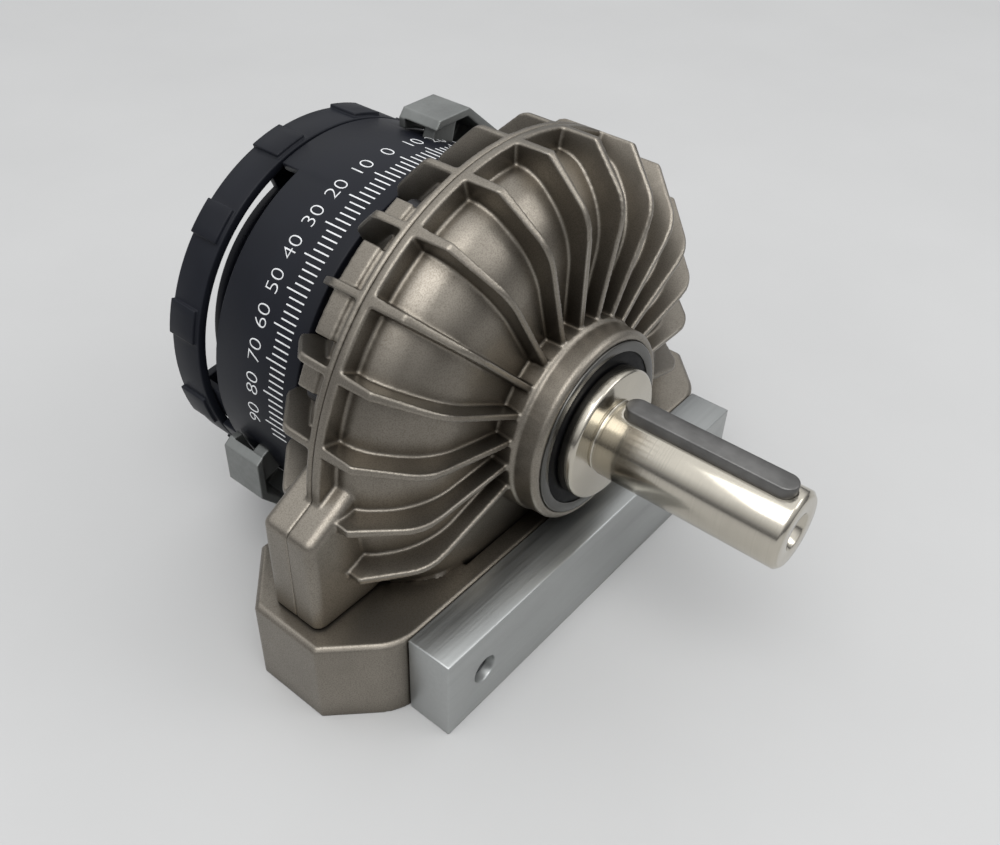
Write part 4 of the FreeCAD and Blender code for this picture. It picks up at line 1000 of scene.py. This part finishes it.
class DRIVE_OT_cap_screws(bpy.types.Operator):
    """Cap screws of the housing, foot, bar, ring, lever and stops"""
    bl_idname = "drive.cap_screws"
    bl_label = "Cap screws"

    def execute(self, context):
        sizes = context.scene.drive_edges
        tree, keys = screw_tree(FINISHES["screw_steel"])
        for node in SCREW_NODES:
            part = merged_copy(node)
            places = [ScrewPlace(group) for group in islands(part)]
            part.free()
            mesh = bpy.data.meshes.new(node + "_set")
            mesh.from_pydata([tuple(place.seat) for place in places], [], [])
            mesh.attributes.new("axis", "FLOAT_VECTOR", "POINT")
            mesh.attributes.new("length", "FLOAT", "POINT")
            for index, place in enumerate(places):
                mesh.attributes["axis"].data[index].vector = place.axis
                mesh.attributes["length"].data[index].value = place.length
            piece = new_piece(node + "_set", mesh)
            first = places[0]
            run_tree(piece, tree, keys, {
                "Head radius": float(first.head),
                "Head height": float(first.head_height),
                "Shank radius": float(first.shank),
                "Socket radius": float(first.head * sizes.socket_share),
                "Socket depth": float(first.head_height * sizes.socket_share),
                "Knurl": sizes.knurl,
                "Edge break": sizes.machined,
            })
            clean = bmesh.new()
            clean.from_mesh(piece.data)
            bmesh.ops.recalc_face_normals(clean, faces=clean.faces)
            clean.to_mesh(piece.data)
            clean.free()
            smooth_by_angle(piece.data, SCREW_SMOOTH)
            settle_for(piece, node)
        return {"FINISHED"}


# Printed scale

def tick_tree(finish):
    """Node tree that sets ticks round the ring, one in a few of them long."""
    counts = ("Count", "Every", "First long")
    sizes = ("Step", "Start", "Radius", "Front", "Long", "Short", "Width", "Ink", "Axis height")
    tree, given, keys = repeat_tree(
        "scale_ticks", [(name, "Int") for name in counts] + [(name, "Float") for name in sizes])
    index = add(tree, "GeometryNodeInputIndex").outputs[0]
    angle = calc(tree, "ADD", given["Start"], calc(tree, "MULTIPLY", index, given["Step"]))
    counted = calc(tree, "ADD", index, given["First long"])
    is_short = calc(tree, "GREATER_THAN", calc(tree, "MODULO", counted, given["Every"]), 0.5)
    cut = calc(tree, "MULTIPLY", is_short, calc(tree, "SUBTRACT", given["Long"], given["Short"]))
    length = calc(tree, "SUBTRACT", given["Long"], cut)
    across = calc(tree, "MULTIPLY", given["Radius"], calc(tree, "SINE", angle))
    along = calc(tree, "ADD", given["Front"], calc(tree, "MULTIPLY", length, 0.5))
    up = calc(tree, "MULTIPLY", given["Radius"], calc(tree, "COSINE", angle))
    place = vector(tree, across, along, calc(tree, "ADD", given["Axis height"], up))
    points = add(tree, "GeometryNodePoints", Count=given["Count"], Position=place)
    bar = add(tree, "GeometryNodeMeshCube", Size=vector(tree, given["Width"], 1.0, given["Ink"]))
    turn = add(tree, "FunctionNodeEulerToRotation", Euler=vector(tree, y=angle))
    copies = add(tree, "GeometryNodeInstanceOnPoints", Points=points.outputs[0], Instance=bar.outputs["Mesh"],
                 Rotation=turn.outputs[0], Scale=vector(tree, 1.0, length, 1.0))
    close_tree(tree, copies.outputs[0], finish)
    return tree, keys


class DRIVE_OT_scale_ticks(bpy.types.Operator):
    """Print the ticks of the angle scale on the ring"""
    bl_idname = "drive.scale_ticks"
    bl_label = "Scale ticks"

    def execute(self, context):
        marks = context.scene.drive_marks
        tree, keys = tick_tree(FINISHES["white_print"])
        piece = new_piece("scale_ticks", bpy.data.meshes.new("scale_ticks"))
        run_tree(piece, tree, keys, {
            "Count": 2 * marks.reach + 1, "Every": marks.every, "First long": -marks.reach % marks.every,
            "Step": marks.step, "Start": marks.zero - marks.reach * marks.step, "Radius": RING_RADIUS,
            "Front": marks.front, "Long": marks.long_length, "Short": marks.short_length,
            "Width": marks.width, "Ink": 2 * marks.ink, "Axis height": SHAFT_AXIS.z,
        })
        settle(piece, BODY_OF["scale_ring"], "white_print")
        return {"FINISHED"}


THIN_STROKE = -0.02
WIDE_FIGURE = 1.08
FIGURE_STEPS = 5


def figure_mesh(text, height):
    """Flat mesh of a number, as high as asked and centred on the origin."""
    curve = bpy.data.curves.new("figure", "FONT")
    curve.body = text
    curve.align_x = "CENTER"
    curve.size = 1.0
    curve.resolution_u = FIGURE_STEPS
    curve.offset = THIN_STROKE
    holder = new_piece("figure", curve)
    bpy.context.view_layer.update()
    mesh = bpy.data.meshes.new_from_object(holder.evaluated_get(bpy.context.evaluated_depsgraph_get()))
    bpy.data.objects.remove(holder)
    ys = [vertex.co.y for vertex in mesh.vertices]
    scale = height / (max(ys) - min(ys))
    middle = (max(ys) + min(ys)) / 2
    for vertex in mesh.vertices:
        vertex.co = Vector((vertex.co.x * scale * WIDE_FIGURE, (vertex.co.y - middle) * scale, 0))
    return mesh


class DRIVE_OT_scale_numbers(bpy.types.Operator):
    """Print the figures of the angle scale on the ring"""
    bl_idname = "drive.scale_numbers"
    bl_label = "Scale numbers"

    def execute(self, context):
        marks = context.scene.drive_marks
        between = marks.every * marks.step
        last = marks.reach // marks.every
        whole = bmesh.new()
        for count in range(-last, last + 1):
            mesh = figure_mesh(str(round(degrees(abs(count) * between))), marks.number_height)
            part = bmesh.new()
            part.from_mesh(mesh)
            bmesh.ops.triangulate(part, faces=part.faces)
            bmesh.ops.subdivide_edges(part, edges=part.edges, cuts=1)
            top = bmesh.ops.extrude_face_region(part, geom=part.faces[:])
            for item in top["geom"]:
                if isinstance(item, bmesh.types.BMVert):
                    item.co.z = marks.ink
            for vertex in part.verts:
                if vertex.co.z < marks.ink / 2:
                    vertex.co.z = -marks.ink
                angle = marks.zero + count * between + vertex.co.x / RING_RADIUS
                along = marks.number_middle + vertex.co.y
                vertex.co = on_ring(angle, RING_RADIUS + vertex.co.z, along)
            bmesh.ops.recalc_face_normals(part, faces=part.faces)
            part.to_mesh(mesh)
            part.free()
            whole.from_mesh(mesh)
            bpy.data.meshes.remove(mesh)
        piece = piece_from(whole, "scale_numbers")
        settle(piece, BODY_OF["scale_ring"], "white_print")
        return {"FINISHED"}


# Stage

FLOOR_HALF = 4.0
FLOOR_ROUGHNESS = 0.55
LAMP_TARGET = Vector((0, 0, 0.05))
LAMP_SHAPE = 0.7
LAMPS = (
    {"name": "ceiling_lamp", "place": (-0.45, -0.25, 1.15), "width": 1.1, "share": 2.0},
    {"name": "side_lamp", "place": (0.55, -0.75, 0.75), "width": 0.6, "share": 0.5},
)
CAMERA_PLACE = (-0.17225, -0.13523, 0.22001)
CAMERA_AHEAD = (0.60608, 0.47620, -0.63711)
CAMERA_ROLL = radians(2.30)
CAMERA_SENSOR = 36.0
CAMERA_LENS = 37.515
CAMERA_NEAREST = 0.01


class DRIVE_OT_stage(bpy.types.Operator):
    """Floor, light and camera"""
    bl_idname = "drive.stage"
    bl_label = "Stage"

    def execute(self, context):
        look = context.scene.drive_stage
        self.floor(look)
        self.light(context.scene, look)
        self.camera(context.scene)
        context.scene.view_settings.view_transform = "Standard"
        return {"FINISHED"}

    def floor(self, look):
        """Large plain floor."""
        mesh = bpy.data.meshes.new("floor")
        corners = [(-1, -1), (1, -1), (1, 1), (-1, 1)]
        mesh.from_pydata([(x * FLOOR_HALF, y * FLOOR_HALF, 0) for x, y in corners], [], [(0, 1, 2, 3)])
        floor = new_piece("floor", mesh)
        made, tree, surface = new_finish("pale_floor")
        patch = noise(tree, scale=9, detail=5.0)
        tone = mottled(tree, patch, look.floor, dark=1.0, light=0.96, low=0.35)
        tree.links.new(tone, surface["Base Color"])
        surface["Roughness"].default_value = FLOOR_ROUGHNESS
        mesh.materials.append(made)

    def light(self, scene, look):
        """Soft room light, dim at the sides and bright above, and two large lamps."""
        world = bpy.data.worlds.new("studio")
        scene.world = world
        world.use_nodes = True
        tree = world.node_tree
        sky = next(node for node in tree.nodes if node.type == "BACKGROUND")
        place = add(tree, "ShaderNodeTexCoord")
        split = add(tree, "ShaderNodeSeparateXYZ", Vector=place.outputs["Generated"])
        ramp = ranged(tree, split.outputs["Z"], look.dark_up_to, look.bright_from)
        glow = mixed(tree, ramp, tint(look.walls), tint(look.ceiling))
        path = add(tree, "ShaderNodeLightPath")
        seen = mixed(tree, path.outputs["Is Camera Ray"], glow, tint(look.backdrop))
        tree.links.new(seen, sky.inputs["Color"])
        sky.inputs["Strength"].default_value = look.sky
        for given in LAMPS:
            lamp = bpy.data.lights.new(given["name"], "AREA")
            lamp.shape = "RECTANGLE"
            lamp.size = given["width"]
            lamp.size_y = given["width"] * LAMP_SHAPE
            lamp.energy = look.lamp * given["share"]
            holder = new_piece(given["name"], lamp)
            way = LAMP_TARGET - Vector(given["place"])
            holder.location = given["place"]
            holder.rotation_euler = way.to_track_quat("-Z", "Y").to_euler()

    def camera(self, scene):
        """Camera that sees the drive as the photo does."""
        ahead = Vector(CAMERA_AHEAD).normalized()
        right = ahead.cross(Vector((0, 0, 1))).normalized()
        up = right.cross(ahead)
        across = right * cos(CAMERA_ROLL) + up * sin(CAMERA_ROLL)
        upward = up * cos(CAMERA_ROLL) - right * sin(CAMERA_ROLL)
        eye = bpy.data.cameras.new("photo_view")
        eye.sensor_fit = "HORIZONTAL"
        eye.sensor_width = CAMERA_SENSOR
        eye.lens = CAMERA_LENS
        eye.clip_start = CAMERA_NEAREST
        holder = new_piece("photo_view", eye)
        turn = Matrix((across, upward, -ahead)).transposed().to_4x4()
        holder.matrix_world = Matrix.Translation(CAMERA_PLACE) @ turn
        scene.camera = holder


class DRIVE_PT_panel(bpy.types.Panel):
    """Lists the pieces of the drive"""
    bl_idname = "DRIVE_PT_panel"
    bl_label = "Vane drive"
    bl_space_type = "VIEW_3D"
    bl_region_type = "UI"
    bl_category = "Drive"

    def draw(self, context):
        for operator in OPERATORS:
            self.layout.operator(operator.bl_idname)


OPERATORS = (
    DRIVE_OT_plain_nodes,
    DRIVE_OT_housing,
    DRIVE_OT_foot,
    DRIVE_OT_bar,
    DRIVE_OT_shaft,
    DRIVE_OT_key,
    DRIVE_OT_bearings,
    DRIVE_OT_ring,
    DRIVE_OT_cap,
    DRIVE_OT_stops,
    DRIVE_OT_lever,
    DRIVE_OT_cap_screws,
    DRIVE_OT_scale_ticks,
    DRIVE_OT_scale_numbers,
    DRIVE_OT_stage,
)
GROUPS = {
    "drive_marks": ScaleMarks,
    "drive_finishes": Finishes,
    "drive_edges": EdgeSizes,
    "drive_stage": StageLook,
}
CLASSES = tuple(GROUPS.values()) + OPERATORS + (DRIVE_PT_panel,)


def register():
    for item in CLASSES:
        bpy.utils.register_class(item)
    for name, group in GROUPS.items():
        setattr(bpy.types.Scene, name, PointerProperty(type=group))


def unregister():
    for name in GROUPS:
        delattr(bpy.types.Scene, name)
    for item in reversed(CLASSES):
        bpy.utils.unregister_class(item)


def main():
    register()
    for operator in OPERATORS:
        group, name = operator.bl_idname.split(".")
        getattr(getattr(bpy.ops, group), name)()


if __name__ == "__main__":
    main()
